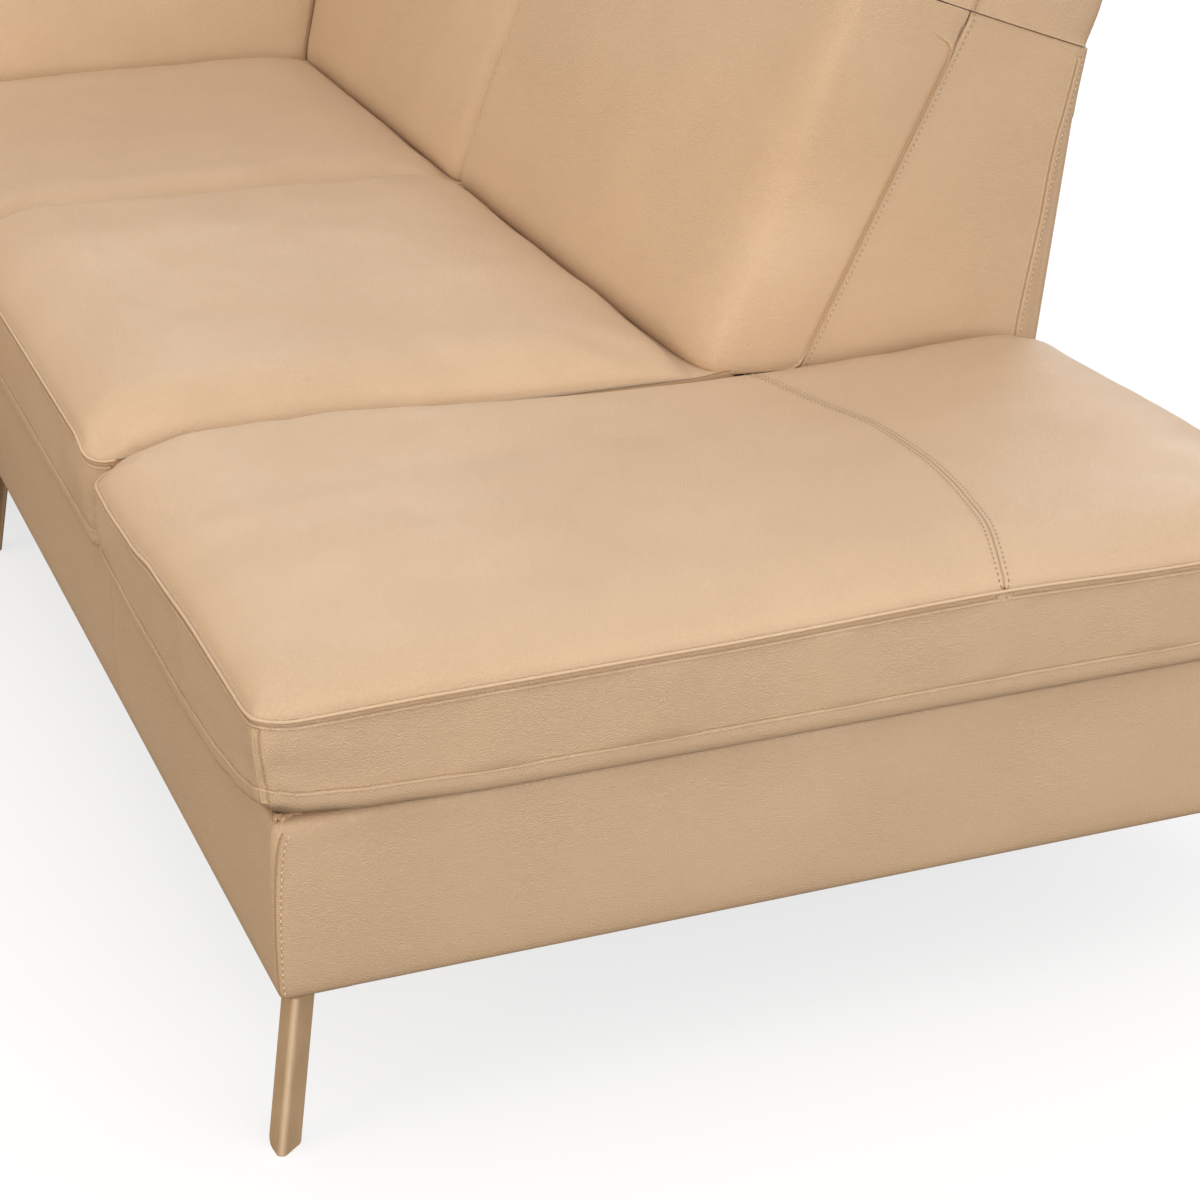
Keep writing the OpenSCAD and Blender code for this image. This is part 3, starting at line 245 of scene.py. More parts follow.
def leather_material(name, color, grain=1.0):
    """Pebbled, lightly creased leather. The point attribute "edge" holds painted shade, darkening seam
    grooves, the rims under piping and undersides.
    """
    def shade(*factors):
        return [min(1.0, c * f) for c, f in zip(color, factors if len(factors) > 1 else factors * 3)]

    n = Nodes(name)
    warped = n.new("VectorMath")
    warped.operation = "MULTIPLY_ADD"
    wobble = n.new("TexNoise", n.place, Scale=260.0, Detail=2.0)
    n.link(wobble.outputs["Color"], warped.inputs[0])
    warped.inputs[1].default_value = (0.0016, 0.0016, 0.0016)
    n.link(n.place, warped.inputs[2])
    pebble = n.cells(430.0, place=warped.outputs[0])
    fine = n.cells(900.0, place=warped.outputs[0])
    patch = n.noise(5.5, 4.0, 0.55)
    cloud = n.noise(1.7, 2.0)
    edge = n.attribute("edge")
    grains = n.ranged(pebble, 0.0, 0.32, 0.0, 1.0)
    grains = n.math("ADD", grains, n.math("MULTIPLY", fine, 0.5))
    depth = n.math("MULTIPLY", grains, n.ranged(patch, 0.3, 0.7, 0.55, 1.15))
    creases = n.noise(46.0, 6.0, 0.62, distort=0.8)
    drawn = n.noise(120.0, 4.0, 0.6, n.stretched((1.0, 0.35, 1.0)), 0.4)
    surface = n.bump(creases, 0.0014, 0.35)
    surface = n.bump(drawn, 0.0005, 0.35, surface)
    surface = n.bump(depth, 0.0008, 0.55 * grain, surface)
    crevice = n.ranged(pebble, 0.0, 0.1, 0.0, 1.0)
    tone = n.mix(n.ranged(cloud, 0.3, 0.7, 0.0, 1.0), shade(0.965), shade(1.03))
    tone = n.mix(n.ranged(patch, 0.2, 0.8, 0.0, 0.35), tone, shade(1.0, 0.97, 0.93))
    tone = n.mix(n.math("MULTIPLY", n.math("SUBTRACT", 1.0, crevice), 0.16), tone, shade(0.62))
    # Painted shade: darker where the "edge" value is set, in seam grooves, under piping and on undersides
    tone = n.mix(n.math("MULTIPLY", edge, 0.75), tone, shade(0.6, 0.5, 0.38))
    rough = n.math("ADD", n.ranged(patch, 0.25, 0.75, 0.43, 0.53), n.math("MULTIPLY", grains, 0.05))
    return n.finish(tone, rough, surface, Specular_IOR_Level=0.62, Sheen_Weight=0.06,
                    Sheen_Roughness=0.5)


def thread_material(name, low, high):
    n = Nodes(name)
    twist = n.wave(900.0, 0.5, "DIAGONAL")
    tone = n.mix(twist, low, high)
    return n.finish(tone, 0.55, n.bump(twist, 0.0002, 0.6), Sheen_Weight=0.15)


def wood_material():
    n = Nodes("Hardwood")
    place = n.stretched((2.0, 14.0, 14.0))
    rings = n.wave(1.6, 3.2, "Y", 4.0, place)
    fibre = n.noise(60.0, 5.0, 0.6, n.stretched((1.0, 12.0, 12.0)))
    tone = n.mix(rings, (0.52, 0.35, 0.18), (0.68, 0.5, 0.29))
    tone = n.mix(n.math("MULTIPLY", fibre, 0.35), tone, (0.4, 0.26, 0.14))
    return n.finish(tone, n.ranged(fibre, 0.3, 0.7, 0.55, 0.7), n.bump(fibre, 0.0006, 0.4))


def foam_material():
    n = Nodes("Foam")
    pores = n.cells(520.0, "F1")
    tone = n.mix(n.ranged(pores, 0.1, 0.5, 0.0, 1.0), (0.7, 0.6, 0.36), (0.86, 0.78, 0.55))
    return n.finish(tone, 0.9, n.bump(pores, 0.0012, 0.7), Sheen_Weight=0.1)


def woven_material(name, dark, light, scale):
    n = Nodes(name)
    weft = n.wave(scale, 0.15, "X")
    warp = n.wave(scale, 0.15, "Y")
    cloth = n.math("MAXIMUM", weft, warp)
    fuzz = n.noise(scale * 2.5, 3.0)
    tone = n.mix(n.math("MULTIPLY", cloth, fuzz), dark, light)
    return n.finish(tone, 0.85, n.bump(cloth, 0.0004, 0.6), Sheen_Weight=0.2)


def steel_material():
    n = Nodes("Zinc")
    flakes = n.cells(160.0, "F1")
    brushed = n.noise(300.0, 3.0, 0.6, n.stretched((1.0, 1.0, 14.0)))
    tone = n.mix(n.ranged(flakes, 0.0, 0.7, 0.0, 1.0), (0.48, 0.49, 0.52), (0.64, 0.65, 0.67))
    return n.finish(tone, n.ranged(brushed, 0.2, 0.8, 0.28, 0.42), n.bump(brushed, 0.0001, 0.3), 1.0)


def leg_material():
    """Satin bronze, brushed along the blade, lighter along the fold as a painted highlight."""
    n = Nodes("Leg metal")
    brushed = n.noise(420.0, 4.0, 0.65, n.stretched((1.0, 1.0, 0.06)))
    cloud = n.noise(18.0, 3.0)
    highlight_mask = n.attribute("edge")
    tone = n.mix(brushed, (0.62, 0.41, 0.23), (0.74, 0.52, 0.32))
    tone = n.mix(n.ranged(cloud, 0.35, 0.65, 0.0, 0.3), tone, (0.44, 0.27, 0.14))
    # Painted highlight: lighter along the fold and the blade's edges, and on the foot's cut
    tone = n.mix(n.math("MULTIPLY", highlight_mask, 0.6), tone, (0.94, 0.76, 0.55))
    return n.finish(tone, n.ranged(brushed, 0.2, 0.8, 0.28, 0.42), n.bump(brushed, 0.00012, 0.35), 0.35,
                    Specular_IOR_Level=0.5)


def plastic_material():
    n = Nodes("Foot plastic")
    spots = n.noise(700.0, 2.0)
    tone = n.mix(spots, (0.018, 0.018, 0.019), (0.035, 0.034, 0.034))
    return n.finish(tone, n.ranged(spots, 0.3, 0.7, 0.45, 0.6), n.bump(spots, 0.0003, 0.5))


LEATHER = leather_material("Leather", LEATHER_COLOR)
# The piping is a lighter copy of the leather: a painted highlight along the welt
HIGHLIT_WELT = leather_material("Welt leather highlit", [min(1.0, c * 1.08) for c in LEATHER_COLOR], 0.6)
THREAD = thread_material("Thread", (0.76, 0.58, 0.39), (0.9, 0.73, 0.54))
# A darker copy of the thread: painted shade for stitches sunk in their holes
SHADED_THREAD = thread_material("Thread.Shaded", (0.3, 0.2, 0.115), (0.4, 0.28, 0.17))
WOOD = wood_material()
FOAM = foam_material()
WEBBING = woven_material("Webbing", (0.012, 0.012, 0.013), (0.07, 0.07, 0.075), 260.0)
DUST = woven_material("Dust cloth", (0.01, 0.01, 0.011), (0.045, 0.045, 0.048), 520.0)
ZINC = steel_material()
BRONZE = leg_material()
PLASTIC = plastic_material()


# Meshes

class Build:
    """Gathers points, faces, the "edge" value of each point and how firmly it is held in inflate(). On
    leather the "edge" value is painted shade, on the legs a painted highlight.
    """

    def __init__(self):
        self.points, self.faces, self.edge, self.held = [], [], [], []

    def add(self, p, edge=0.0, held=1.0):
        self.points.append(tuple(p))
        self.edge.append(edge)
        self.held.append(held)
        return len(self.points) - 1

    def ring(self, points, edge=0.0):
        return [self.add(p, edge) for p in points]

    def bridge(self, a, b, closed=True):
        n = len(a)
        for i in range(n if closed else n - 1):
            j = (i + 1) % n
            self.faces.append((a[i], a[j], b[j], b[i]))

    def loft(self, rows, closed=False):
        """Faces between rows of points. Closed rows get a face at each end too."""
        for a, b in zip(rows, rows[1:]):
            self.bridge(a, b, closed)
        if closed:
            self.faces += [tuple(reversed(rows[0])), tuple(rows[-1])]

    def laid(self, name, mat):
        """A piece on the base whose points are row millimetres already."""
        mesh = bpy.data.meshes.new(name)
        mesh.from_pydata([Vector(p) * 0.001 for p in self.points], [], self.faces)
        mesh.attributes.new("edge", "FLOAT", "POINT").data.foreach_set("value", self.edge)
        mesh.materials.append(mat)
        return settle(linked(name, mesh), "base")

    def piece(self, name, mat, place=on_return, body="base", slot="leather", levels=0, fill=None,
              replaces=(), flip=False):
        mesh = bpy.data.meshes.new(name)
        faces = [tuple(reversed(f)) for f in self.faces] if flip else self.faces
        mesh.from_pydata([to_row(place(p)) for p in self.points], [], faces)
        mesh.validate()
        mesh.attributes.new("edge", "FLOAT", "POINT").data.foreach_set("value", self.edge)
        if fill is not None:
            mesh.attributes.new("held", "FLOAT", "POINT").data.foreach_set("value", self.held)
        mesh.materials.append(mat)
        return settle(linked(name, mesh), body, levels, replaces)


# Frames of the cloth simulation, and the metres that no point moves beyond
SIM_FRAMES, SIM_CAP = 20, 0.0035


def inflate(obj):
    """Cloth simulation: the cover is blown up between its held seams."""
    scene = bpy.context.scene
    held = [a.value for a in obj.data.attributes["held"].data]
    rest = [v.co.copy() for v in obj.data.vertices]
    group = obj.vertex_groups.new(name="Held")
    for i, w in enumerate(held):
        if w > 0.02:
            group.add([i], min(1.0, w), "REPLACE")
    m = obj.modifiers.new("Cover", "CLOTH")
    m.point_cache.frame_start, m.point_cache.frame_end = 1, SIM_FRAMES
    m.collision_settings.use_collision = False
    c = m.settings
    c.quality = 5
    c.mass = 0.4
    c.tension_stiffness = c.compression_stiffness = 30.0
    c.shear_stiffness = 20.0
    c.bending_stiffness = 12.0
    c.air_damping = 4.0
    c.shrink_min = -0.005
    c.use_pressure = True
    c.uniform_pressure_force = 4.0
    c.effector_weights.gravity = 0.0
    c.vertex_group_mass = group.name
    for f in range(1, SIM_FRAMES + 1):
        scene.frame_set(f)
    mesh = obj.evaluated_get(bpy.context.evaluated_depsgraph_get()).to_mesh()
    blown = [v.co.copy() for v in mesh.vertices]
    obj.modifiers.clear()
    obj.vertex_groups.clear()
    for v, a, p in zip(obj.data.vertices, rest, blown):
        d = p - a
        v.co = a + d * (SIM_CAP / (SIM_CAP + d.length))
    scene.frame_set(1)


def settle(obj, body, levels=0, replaces=()):
    if "held" in obj.data.attributes:
        inflate(obj)
        obj.data.attributes.remove(obj.data.attributes["held"])
    if levels:
        subdivide(obj, levels)
    for p in obj.data.polygons:
        p.use_smooth = True
    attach(obj, body)
    if replaces:
        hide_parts(*replaces)
    return obj


def bake(obj):
    """Applies every modifier."""
    graph = bpy.context.evaluated_depsgraph_get()
    graph.update()
    mesh = bpy.data.meshes.new_from_object(obj.evaluated_get(graph), preserve_all_data_layers=True,
                                           depsgraph=graph)
    obj.modifiers.clear()
    obj.data = mesh
    return obj


def subdivide(obj, levels):
    m = obj.modifiers.new("Subdivision", "SUBSURF")
    m.levels = m.render_levels = levels
    m.boundary_smooth = "PRESERVE_CORNERS"
    m.use_limit_surface = False
    return bake(obj)


EDGE_STEPS = (0.0, 4.0, 9.0, 15.0, 22.0, 30.0, 40.0, 52.0, 66.0, 82.0)
CORNER = EDGE_STEPS[-1]


def steps(length, pitch=17.0):
    """Places along a length, close together near both ends."""
    middle = length - 2 * CORNER
    n = max(2, round(middle / pitch))
    return ([*EDGE_STEPS] + [CORNER + middle * i / n for i in range(1, n)]
            + [length - e for e in reversed(EDGE_STEPS)])


def round_corner(a, b, r):
    """Moves a point at distances a and b from a corner's sides so that the corner is round."""
    d = min(a, b)
    if max(a, b) >= CORNER or r <= 0:
        return a, b
    rd, cd, t = r * (1 - d / CORNER), CORNER - d, max(a, b) - d
    arc = rd * math.pi / 4
    if t < arc:
        angle = math.pi / 4 * (1 - t / arc)
        x, y = rd * (1 - math.cos(angle)), rd * (1 - math.sin(angle))
    else:
        x, y = 0.0, rd + (t - arc) * (cd - rd) / max(cd - arc, 1e-6)
    return (d + x, d + y) if a <= b else (d + y, d + x)


def heading(pts, i):
    """Direction of a line at one of its points."""
    return (pts[min(i + 1, len(pts) - 1)] - pts[max(i - 1, 0)]).normalized()


def round_ring(centre, side, up, r, sides):
    turns = [k * math.tau / sides for k in range(sides)]
    return [centre + (side * math.cos(a) + up * math.sin(a)) * r for a in turns]


def resample(path, pitch):
    """Points at an even pitch along a path, ends kept."""
    pts = [Vector(p) for p in path]
    lengths = [0.0]
    for a, b in zip(pts, pts[1:]):
        lengths.append(lengths[-1] + (b - a).length)
    total = lengths[-1]
    n = max(2, round(total / pitch))
    out, k = [], 0
    for i in range(n + 1):
        s = total * i / n
        while k < len(lengths) - 2 and lengths[k + 1] < s:
            k += 1
        span = lengths[k + 1] - lengths[k]
        out.append(pts[k].lerp(pts[k + 1], (s - lengths[k]) / span if span else 0.0))
    return out


def curve(path, pitch=4.0):
    """A smooth line through a few points."""
    pts = [Vector(p) for p in path]
    ext = [pts[0] * 2 - pts[1], *pts, pts[-1] * 2 - pts[-2]]
    out = []
    for a, b, c, d in zip(ext, ext[1:], ext[2:], ext[3:]):
        n = max(2, int((c - b).length / pitch))
        for i in range(n):
            t = i / n
            out.append(0.5 * ((2 * b) + (c - a) * t + (2 * a - 5 * b + 4 * c - d) * t * t
                              + (3 * b - a - 3 * c + d) * t ** 3))
    return out + [pts[-1]]


class Surface:
    """Nearest places on a finished piece, in millimetres."""

    def __init__(self, obj):
        self.tree = BVHTree.FromPolygons([v.co * 1000 for v in obj.data.vertices],
                                         [tuple(p.vertices) for p in obj.data.polygons])

    def at(self, p):
        return self.tree.find_nearest(p)[:2]


def row_mm(path, place=on_return):
    return [to_row(place(p)) * 1000 for p in path]


# Along one stitch: place, how far it is sunk, thickness
STITCH = ((-0.5, 0.99, 0.5), (-0.3, 0.0, 1.0), (0.0, -0.132, 1.05), (0.3, 0.0, 1.0), (0.5, 0.99, 0.5))
STITCH_PITCH, STITCH_LENGTH, STITCH_R = 6.5, 3.8, 0.62
PIPING_R = 1.65


def stitched(name, paths, surface, lift=0.15, mat=THREAD):
    """Short threads along paths, given in row millimetres, each one sunk at its ends."""
    b = Build()
    for path in paths:
        pts = resample(path, STITCH_PITCH)
        for a, c in zip(pts, pts[1:]):
            if (c - a).length < 1e-6:
                continue
            way = (c - a).normalized()
            mid, normal = surface.at((a + c) / 2)
            way = (way - normal * way.dot(normal)).normalized()
            b.loft([b.ring(round_ring(mid + way * (s * STITCH_LENGTH) + normal * (lift - drop),
                                      normal.cross(way), normal * 0.8, STITCH_R * k, 5))
                    for s, drop, k in STITCH], True)
    b.laid(name, mat)
    strip(f"{name}_line", paths, surface, DENT)


def welted(name, path):
    """Piping along a path in row millimetres."""
    b = Build()
    pts = resample(path, 5.0)
    rings, side = [], heading(pts, 0).orthogonal().normalized()
    for i, p in enumerate(pts):
        t = heading(pts, i)
        side = (side - t * side.dot(t)).normalized()
        rings.append(b.ring(round_ring(p, side, t.cross(side), PIPING_R, 8)))
    b.loft(rings, True)
    b.laid(name, HIGHLIT_WELT)


# Seat cushions

# Section of a cushion's side under its piping: how far out, share of the way down, painted shade ("edge"),
# darkest in the grooves and on the underside
BOXING = ((0.5, 0.022, 0.3), (0.0, 0.06, 0.55), (0.6, 0.1, 0.1), (1.7, 0.2, 0.0), (2.6, 0.36, 0.0),
          (2.8, 0.52, 0.0), (2.1, 0.66, 0.0), (1.3, 0.74, 0.1), (0.5, 0.775, 0.55), (1.2, 0.81, 0.1),
          (1.4, 0.87, 0.0), (0.4, 0.935, 0.1), (-2.8, 0.985, 0.5), (-11.0, 1.0, 1.0), (-28.0, 1.0, 1.0))
STITCH_TOP, STITCH_LOW = 2, 9
# The side of the open end seat below this Y meets no other cushion
OPEN_SIDE = -6.0
# Width of the held edge under the piping, which is also darkened there as painted shade
RIM = 3.0
# Shares of the way down between which an open side isn't held, and how far a front corner is crumpled
LOOSE, CRUMPLE_REACH = (0.08, 0.76), 75.0
# Where the open end seat's top is pressed down: depth and its reach, and where along the run it starts
DIP_X, DIP_REACH, DIP_START, DIP_RUN = 660.0, 260.0, 190.0, 350.0
# Height of the lower edge of the seats' fronts, which hang over the base
FRONT_LOW = 316.0


class Cushion:
    """A box cushion. Distances p run back from its front edge and q along the run.

    edges are the heights along its front, back, near and far edge, crown is the dome's height over
    them, runs how far in from each edge it rises, and low(x, y) the height of the lower edge.
    """

    def __init__(self, name, x, y, place, radii, edges, crown, runs, low, node, wrinkle, seed,
                 tuck=(0, 0), dip=0.0):
        ps, qs = steps(x[1] - x[0]), steps(y[1] - y[0])
        self.np, self.nq = len(ps), len(qs)
        lx, ly = ps[-1], qs[-1]
        front, back, near, far = edges
        b = Build()
        grid = []
        for q in qs:
            row = []
            for p in ps:
                left, below = p < lx / 2, q < ly / 2
                r = radii[(0 if left else 1) + (0 if below else 2)]
                a, c = round_corner(p if left else lx - p, q if below else ly - q, r)
                px = x[0] + (a if left else lx - a)
                py = y[0] + (c if below else ly - c)
                s, t = p / lx, q / ly
                z = ((1 - s) * along(front, py) + s * along(back, py)
                     + (1 - t) * along(near, px) + t * along(far, px)
                     - (1 - s) * (1 - t) * along(near, x[0]) - s * (1 - t) * along(near, x[1])
                     - (1 - s) * t * along(far, x[0]) - s * t * along(far, x[1]))
                dome = (arch(p, runs[0]) * arch(lx - p - tuck[0], runs[1]) * arch(q, runs[2])
                        * arch(ly - q - tuck[1], runs[3]))
                rim = min(p, lx - p, q, ly - q)
                soft = ripple(px / 170, py / 170, seed, 3.0) + ripple(px / 60, py / 60, seed + 7, wrinkle)
                z += crown * dome + soft * smooth(rim / 60)
                z -= dip * math.exp(-((px - DIP_X) / DIP_REACH) ** 2) * smooth((py - DIP_START) / DIP_RUN)
                # Points within RIM of the piping are held and get 0.35 of painted shade
                row.append(b.add((px, py, z), *((0.35, 1.0) if rim < RIM else (0.0, 0.0))))
            grid.append(row)
        b.loft(grid)
        ring = (grid[0] + [row[-1] for row in grid[1:]] + grid[-1][-2::-1]
                + [row[0] for row in grid[-2:0:-1]])
        n = len(ring)
        flat = [Vector(b.points[k]) for k in ring]
        self.rings = [ring]
        outward = []
        for k in range(n):
            t = flat[(k + 1) % n] - flat[k - 1]
            outward.append(Vector((t.y, -t.x, 0)).normalized())
        for out, down, painted_shade in BOXING:
            level = []
            for k in range(n):
                p = flat[k] + outward[k] * out
                bottom = low(p.x, p.y)
                corner = math.exp(-((p.x - x[0]) ** 2 + (p.y - y[0]) ** 2) / CRUMPLE_REACH ** 2)
                crumple = ripple(p.x / 15 + down * 3.4, p.y / 24 - down * 1.5, down * 3 + seed, 1.3) * corner
                crumple += ripple(p.x / 60, p.y / 60, down * 2 + seed, 0.5)
                flatten = -0.55 * out * corner if 0.5 < down < 0.95 else 0.0
                p += outward[k] * (crumple * wrinkle * math.sin(math.pi * down) + flatten)
                if out < -5:
                    bottom = min(bottom, SEAT_LOW + 0.4) if out < -20 else max(SEAT_LOW + 0.4, bottom - 4)
                level.append((p.x, p.y, flat[k].z + (bottom - flat[k].z) * down))
            cur = b.ring(level, painted_shade)
            for i, p in zip(cur, level):
                if LOOSE[0] < down < LOOSE[1] and (p[0] < x[0] + 4 or p[1] < OPEN_SIDE):
                    b.held[i] = 0.0
            b.bridge(self.rings[-1], cur)
            self.rings.append(cur)
        b.faces.append(tuple(cur))
        self.obj = b.piece(name, LEATHER, place, fill=0.75, levels=1, replaces=(node,))
        self.surface = Surface(self.obj)
        self.centre = to_row(place((sum(x) / 2, sum(y) / 2, 0))) * 1000

    def line(self, ring, start, stop, out=0.0, up=0.0):
        """A smooth line through the final places of one ring's points, in row millimetres."""
        ids, pts = self.rings[ring], []
        for k in range(start, stop):
            p = self.obj.data.vertices[ids[k % len(ids)]].co * 1000
            away = Vector((p.x - self.centre.x, p.y - self.centre.y, 0)).normalized()
            pts.append(p + away * out + Vector((0, 0, up)))
        return curve(pts)


def flat_edge(z):
    return ((0.0, z), (1.0, z))


def deck(_x, _y):
    return SEAT_LOW + 0.2


def bumper_low(x, y):
    """The open end seat's lower edge, lifted at its corner, hangs over the base in front."""
    if x < 6 and x < y:
        return along(((-14, 347), (0, 342), (30, 333), (66, 323), (150, 310), (260, 304), (420, 308),
                      (560, 316), (619, 321)), y)
    if y < 6:
        return along(((-14, 347), (0, 342), (30, 333.5), (86, 327), (200, 321.5), (400, SEAT_LOW + 0.4)), x)
    return SEAT_LOW + 0.4


def backed_low(x, _y):
    return FRONT_LOW if x < 0 else SEAT_LOW + 0.2


bumper = Cushion(
    "bumper_seat", (-SEAT_OUT, RETURN_DEPTH + 2), (-SEAT_OUT, BUMPER - HALF_GAP), on_return,
    (14.0, 22.0, 34.0, 30.0),
    (((-12, 425), (30, 420), (190, 420), (340, 413), (440, 402), (530, 399), (619, 404)),
     ((-12, 420), (300, 420), (619, 412)),
     ((-12, 425), (20, 420), (150, 422), (380, 423), (670, 428), (860, 423), (1062, 418)),
     ((-12, 402), (30, 408), (90, 420), (200, 423), (430, 418), (640, 420), (1062, 408))),
    31.0, (62.0, 110.0, 84.0, 62.0), bumper_low, "bumper_cushion", 1.6, 1.0, dip=18.0)
RETURN_SIDE = ((-12, 408), (40, 413), (90, 420), (640, 420), (696, 424.5))
return_seat = Cushion(
    "return_seat", (-SEAT_OUT, RETURN_SEAT + UNDER_BACK), (BUMPER + HALF_GAP, RETURN_LEN - HALF_GAP),
    on_return, (32.0, 12.0, 32.0, 12.0),
    (((621, 414), (690, 428), (1090, 429), (1340, 422), (1419, 410)),
     flat_edge(424.5), RETURN_SIDE, RETURN_SIDE),
    38.0, (90.0, 125.0, 80.0, 80.0), backed_low, "return_seat_cushion", 1.8, 4.0, (55, 0))
corner_seat = Cushion(
    "corner_seat", (1.0, RETURN_SEAT + UNDER_BACK), (RETURN_LEN + HALF_GAP, CORNER_Y + UNDER_BACK), on_return,
    (14.0, 12.0, 14.0, 12.0),
    (flat_edge(418.0), flat_edge(424.5), ((1, 418), (640, 420), (696, 424.5)), flat_edge(424.5)),
    36.0, (80.0, 125.0, 80.0, 125.0), deck, "corner_seat_cushion", 1.6, 9.0, (55, 55))
MAIN_SIDE = ((-12, 410), (90, 420), (744, 424.5))
main_seats = []
for label, seed, start in (("right", 13.0, 0.0), ("left", 17.0, SEAT_LEN)):
    stop = start + SEAT_LEN
    main_seats.append(Cushion(
        f"main_seat_{label}", (-SEAT_OUT, MAIN_SEAT + UNDER_BACK), (start + HALF_GAP, stop - HALF_GAP),
        on_main, (30.0, 12.0, 30.0, 12.0),
        (((start, 412), (start + 80, 427), (stop - 80, 427), (stop, 412)), flat_edge(424.5),
         MAIN_SIDE, MAIN_SIDE),
        38.0, (90.0, 125.0, 80.0, 80.0), backed_low, f"main_seat_cushion_{label}", 1.8, seed, (55, 0)))


# Back cushions, headrests and corner tops

def roll(d, run):
    return 1 - arch(d, run)


def pad_section():
    """Side view of a back cushion: depth behind its foot, height, share of the swell."""
    top, foot, steps_up = HINGE_Z - 11.5, FOOT_Z - 9, 24
    pts = [(90, foot, 0), (60, foot, 0), (32, foot, 0), (13, foot + 2, 0), (4, foot + 8, 0.1)]
    for i in range(1, steps_up + 1):
        t = i / steps_up
        z = 431 + (top - 435) * t * 0.985
        pts.append((face_u(z), z, math.sin(math.pi * (0.04 + 0.94 * t)) ** 0.75))
    pts += [(*hinge_point(x, level), 0) for x, level in
            ((-23, -10), (-16, -6.0), (-6, -2.4), (8, -0.8), (26, -0.4), (42, -0.4), (44, -3), (44, -31))]
    start, shelf = (seam_u(755.0) - 0.3, 755.0), pts[-1]
    pts.append((start[0] * 0.6 + shelf[0] * 0.4, start[1] * 0.6 + shelf[1] * 0.4, 0))
    for i in range(12):
        z = start[1] + (foot - start[1]) * i / 11
        pts.append((seam_u(z) - 0.3, z, 0))
    return pts


def head_section():
    """Side view of a headrest in the hinge frame, turned into depth and height."""
    b, h = HEAD_BACK, HEAD_H
    pts = [(-25, 13.5, 0.1), (-14, 7.5, 0), (-4, 3.2, 0), (10, 0.9, 0), (44, 0.5, 0), (90, 0.5, 0),
           (b * 0.5, 0.5, 0), (b * 0.75, 0.5, 0), (b - 14, 0.4, 0), (b - 3, 0.7, 0), (b - 0.8, 3.0, 0),
           (b - 0.4, 14, 0.1), (b, h * 0.22, 0.3), (b - 1, h * 0.32, 0.5), (b - 4, h * 0.42, 0.6),
           (b - 8.5, h * 0.52, 0.6), (b - 15, h * 0.62, 0.6), (b - 24, h * 0.72, 0.6),
           (b - 34, h * 0.8, 0.6), (b - 47, h * 0.87, 0.6), (b - 62, h * 0.93, 0.6),
           (b - 82, h * 0.972, 0.7), (b - 105, h, 0.8), (b * 0.54, h * 1.008, 0.9),
           (b * 0.46, h * 1.01, 1), (b * 0.37, h, 1), (b * 0.28, h * 0.98, 1), (b * 0.2, h * 0.95, 1),
           (b * 0.12, h * 0.91, 0.9), (8, h * 0.86, 0.9), (-4, h * 0.79, 0.8), (-14, h * 0.71, 0.8),
           (-22, h * 0.62, 0.8), (-26.5, h * 0.52, 0.8), (-28, h * 0.42, 0.8), (-28.8, h * 0.33, 0.7),
           (-29, h * 0.24, 0.6), (-28.4, 26, 0.3), (-27, 18, 0.2)]
    return [(*hinge_point(x, z), w) for x, z, w in pts]


def outward_of(section, i):
    a, b = section[i - 1], section[(i + 1) % len(section)]
    d = Vector((b[0] - a[0], b[1] - a[1]))
    return Vector((-d.y, d.x)).normalized()


def to_seam(x, z, back):
    """Step from a point to the seam's line, along the parting for a headrest and near it."""
    tilt = SPLIT if back else SPLIT * smooth((z - 560) / 150)
    step = (seam_u(z) - x) / (math.cos(tilt) + SEAM * math.sin(tilt))
    return step * math.cos(tilt), -step * math.sin(tilt)


REAR_R = 16.0
# How an open end falls away to its seam: its slope, then the shares of its depth lost slowly and quickly
END_LEAN = math.tan(math.radians(25.0))
END_SINK = (0.26, 0.3)
# Rings of an open end's panel, as shares of the way from its rim to the seam
END_RINGS = (0.12, 0.3, 0.55, 0.78, 0.95, 1.0)
# Above this height a headrest drops towards its ends, by a share of what is above it over a length
CREST_Z = 880.0
CREST_DROP = {"open": (0.24, 32.0), "seat": (0.16, 30.0)}
# Share of its depth by which a cushion draws in where it meets the next, and the length of that
MEET_IN, MEET_REACH = 0.16, 34.0
# The same at the mitre, in millimetres, with the share of it at the rear
MITRE_IN, MITRE_REACH, MITRE_REAR = 7.0, 22.0, -0.4


def firmness(z, back):
    """How strongly an open end is drawn towards its seam."""
    if back:
        return 0.45 + 0.4 * smooth((z - 830) / 90)
    return 0.2 + 0.32 * smooth((z - FOOT_Z) / 160) - 0.3 * smooth((z - 600) / 170)


def end_ring(b, ring, k, end, way, back):
    """A ring of an open end's panel, a share k of the way from the rim to the seam."""
    pts = []
    for i in ring:
        x, y, z = b.points[i]
        dx, dz = to_seam(x, z, back)
        bulge = 3.5 * math.sin(math.pi * k) ** 0.7
        pts.append((x + dx * k, y + (end - y) * k + way * bulge, z + dz * k))
    # The ring at the seam is darkened as painted shade
    return b.ring(pts, 0.8 if k == 1.0 else 0.0)


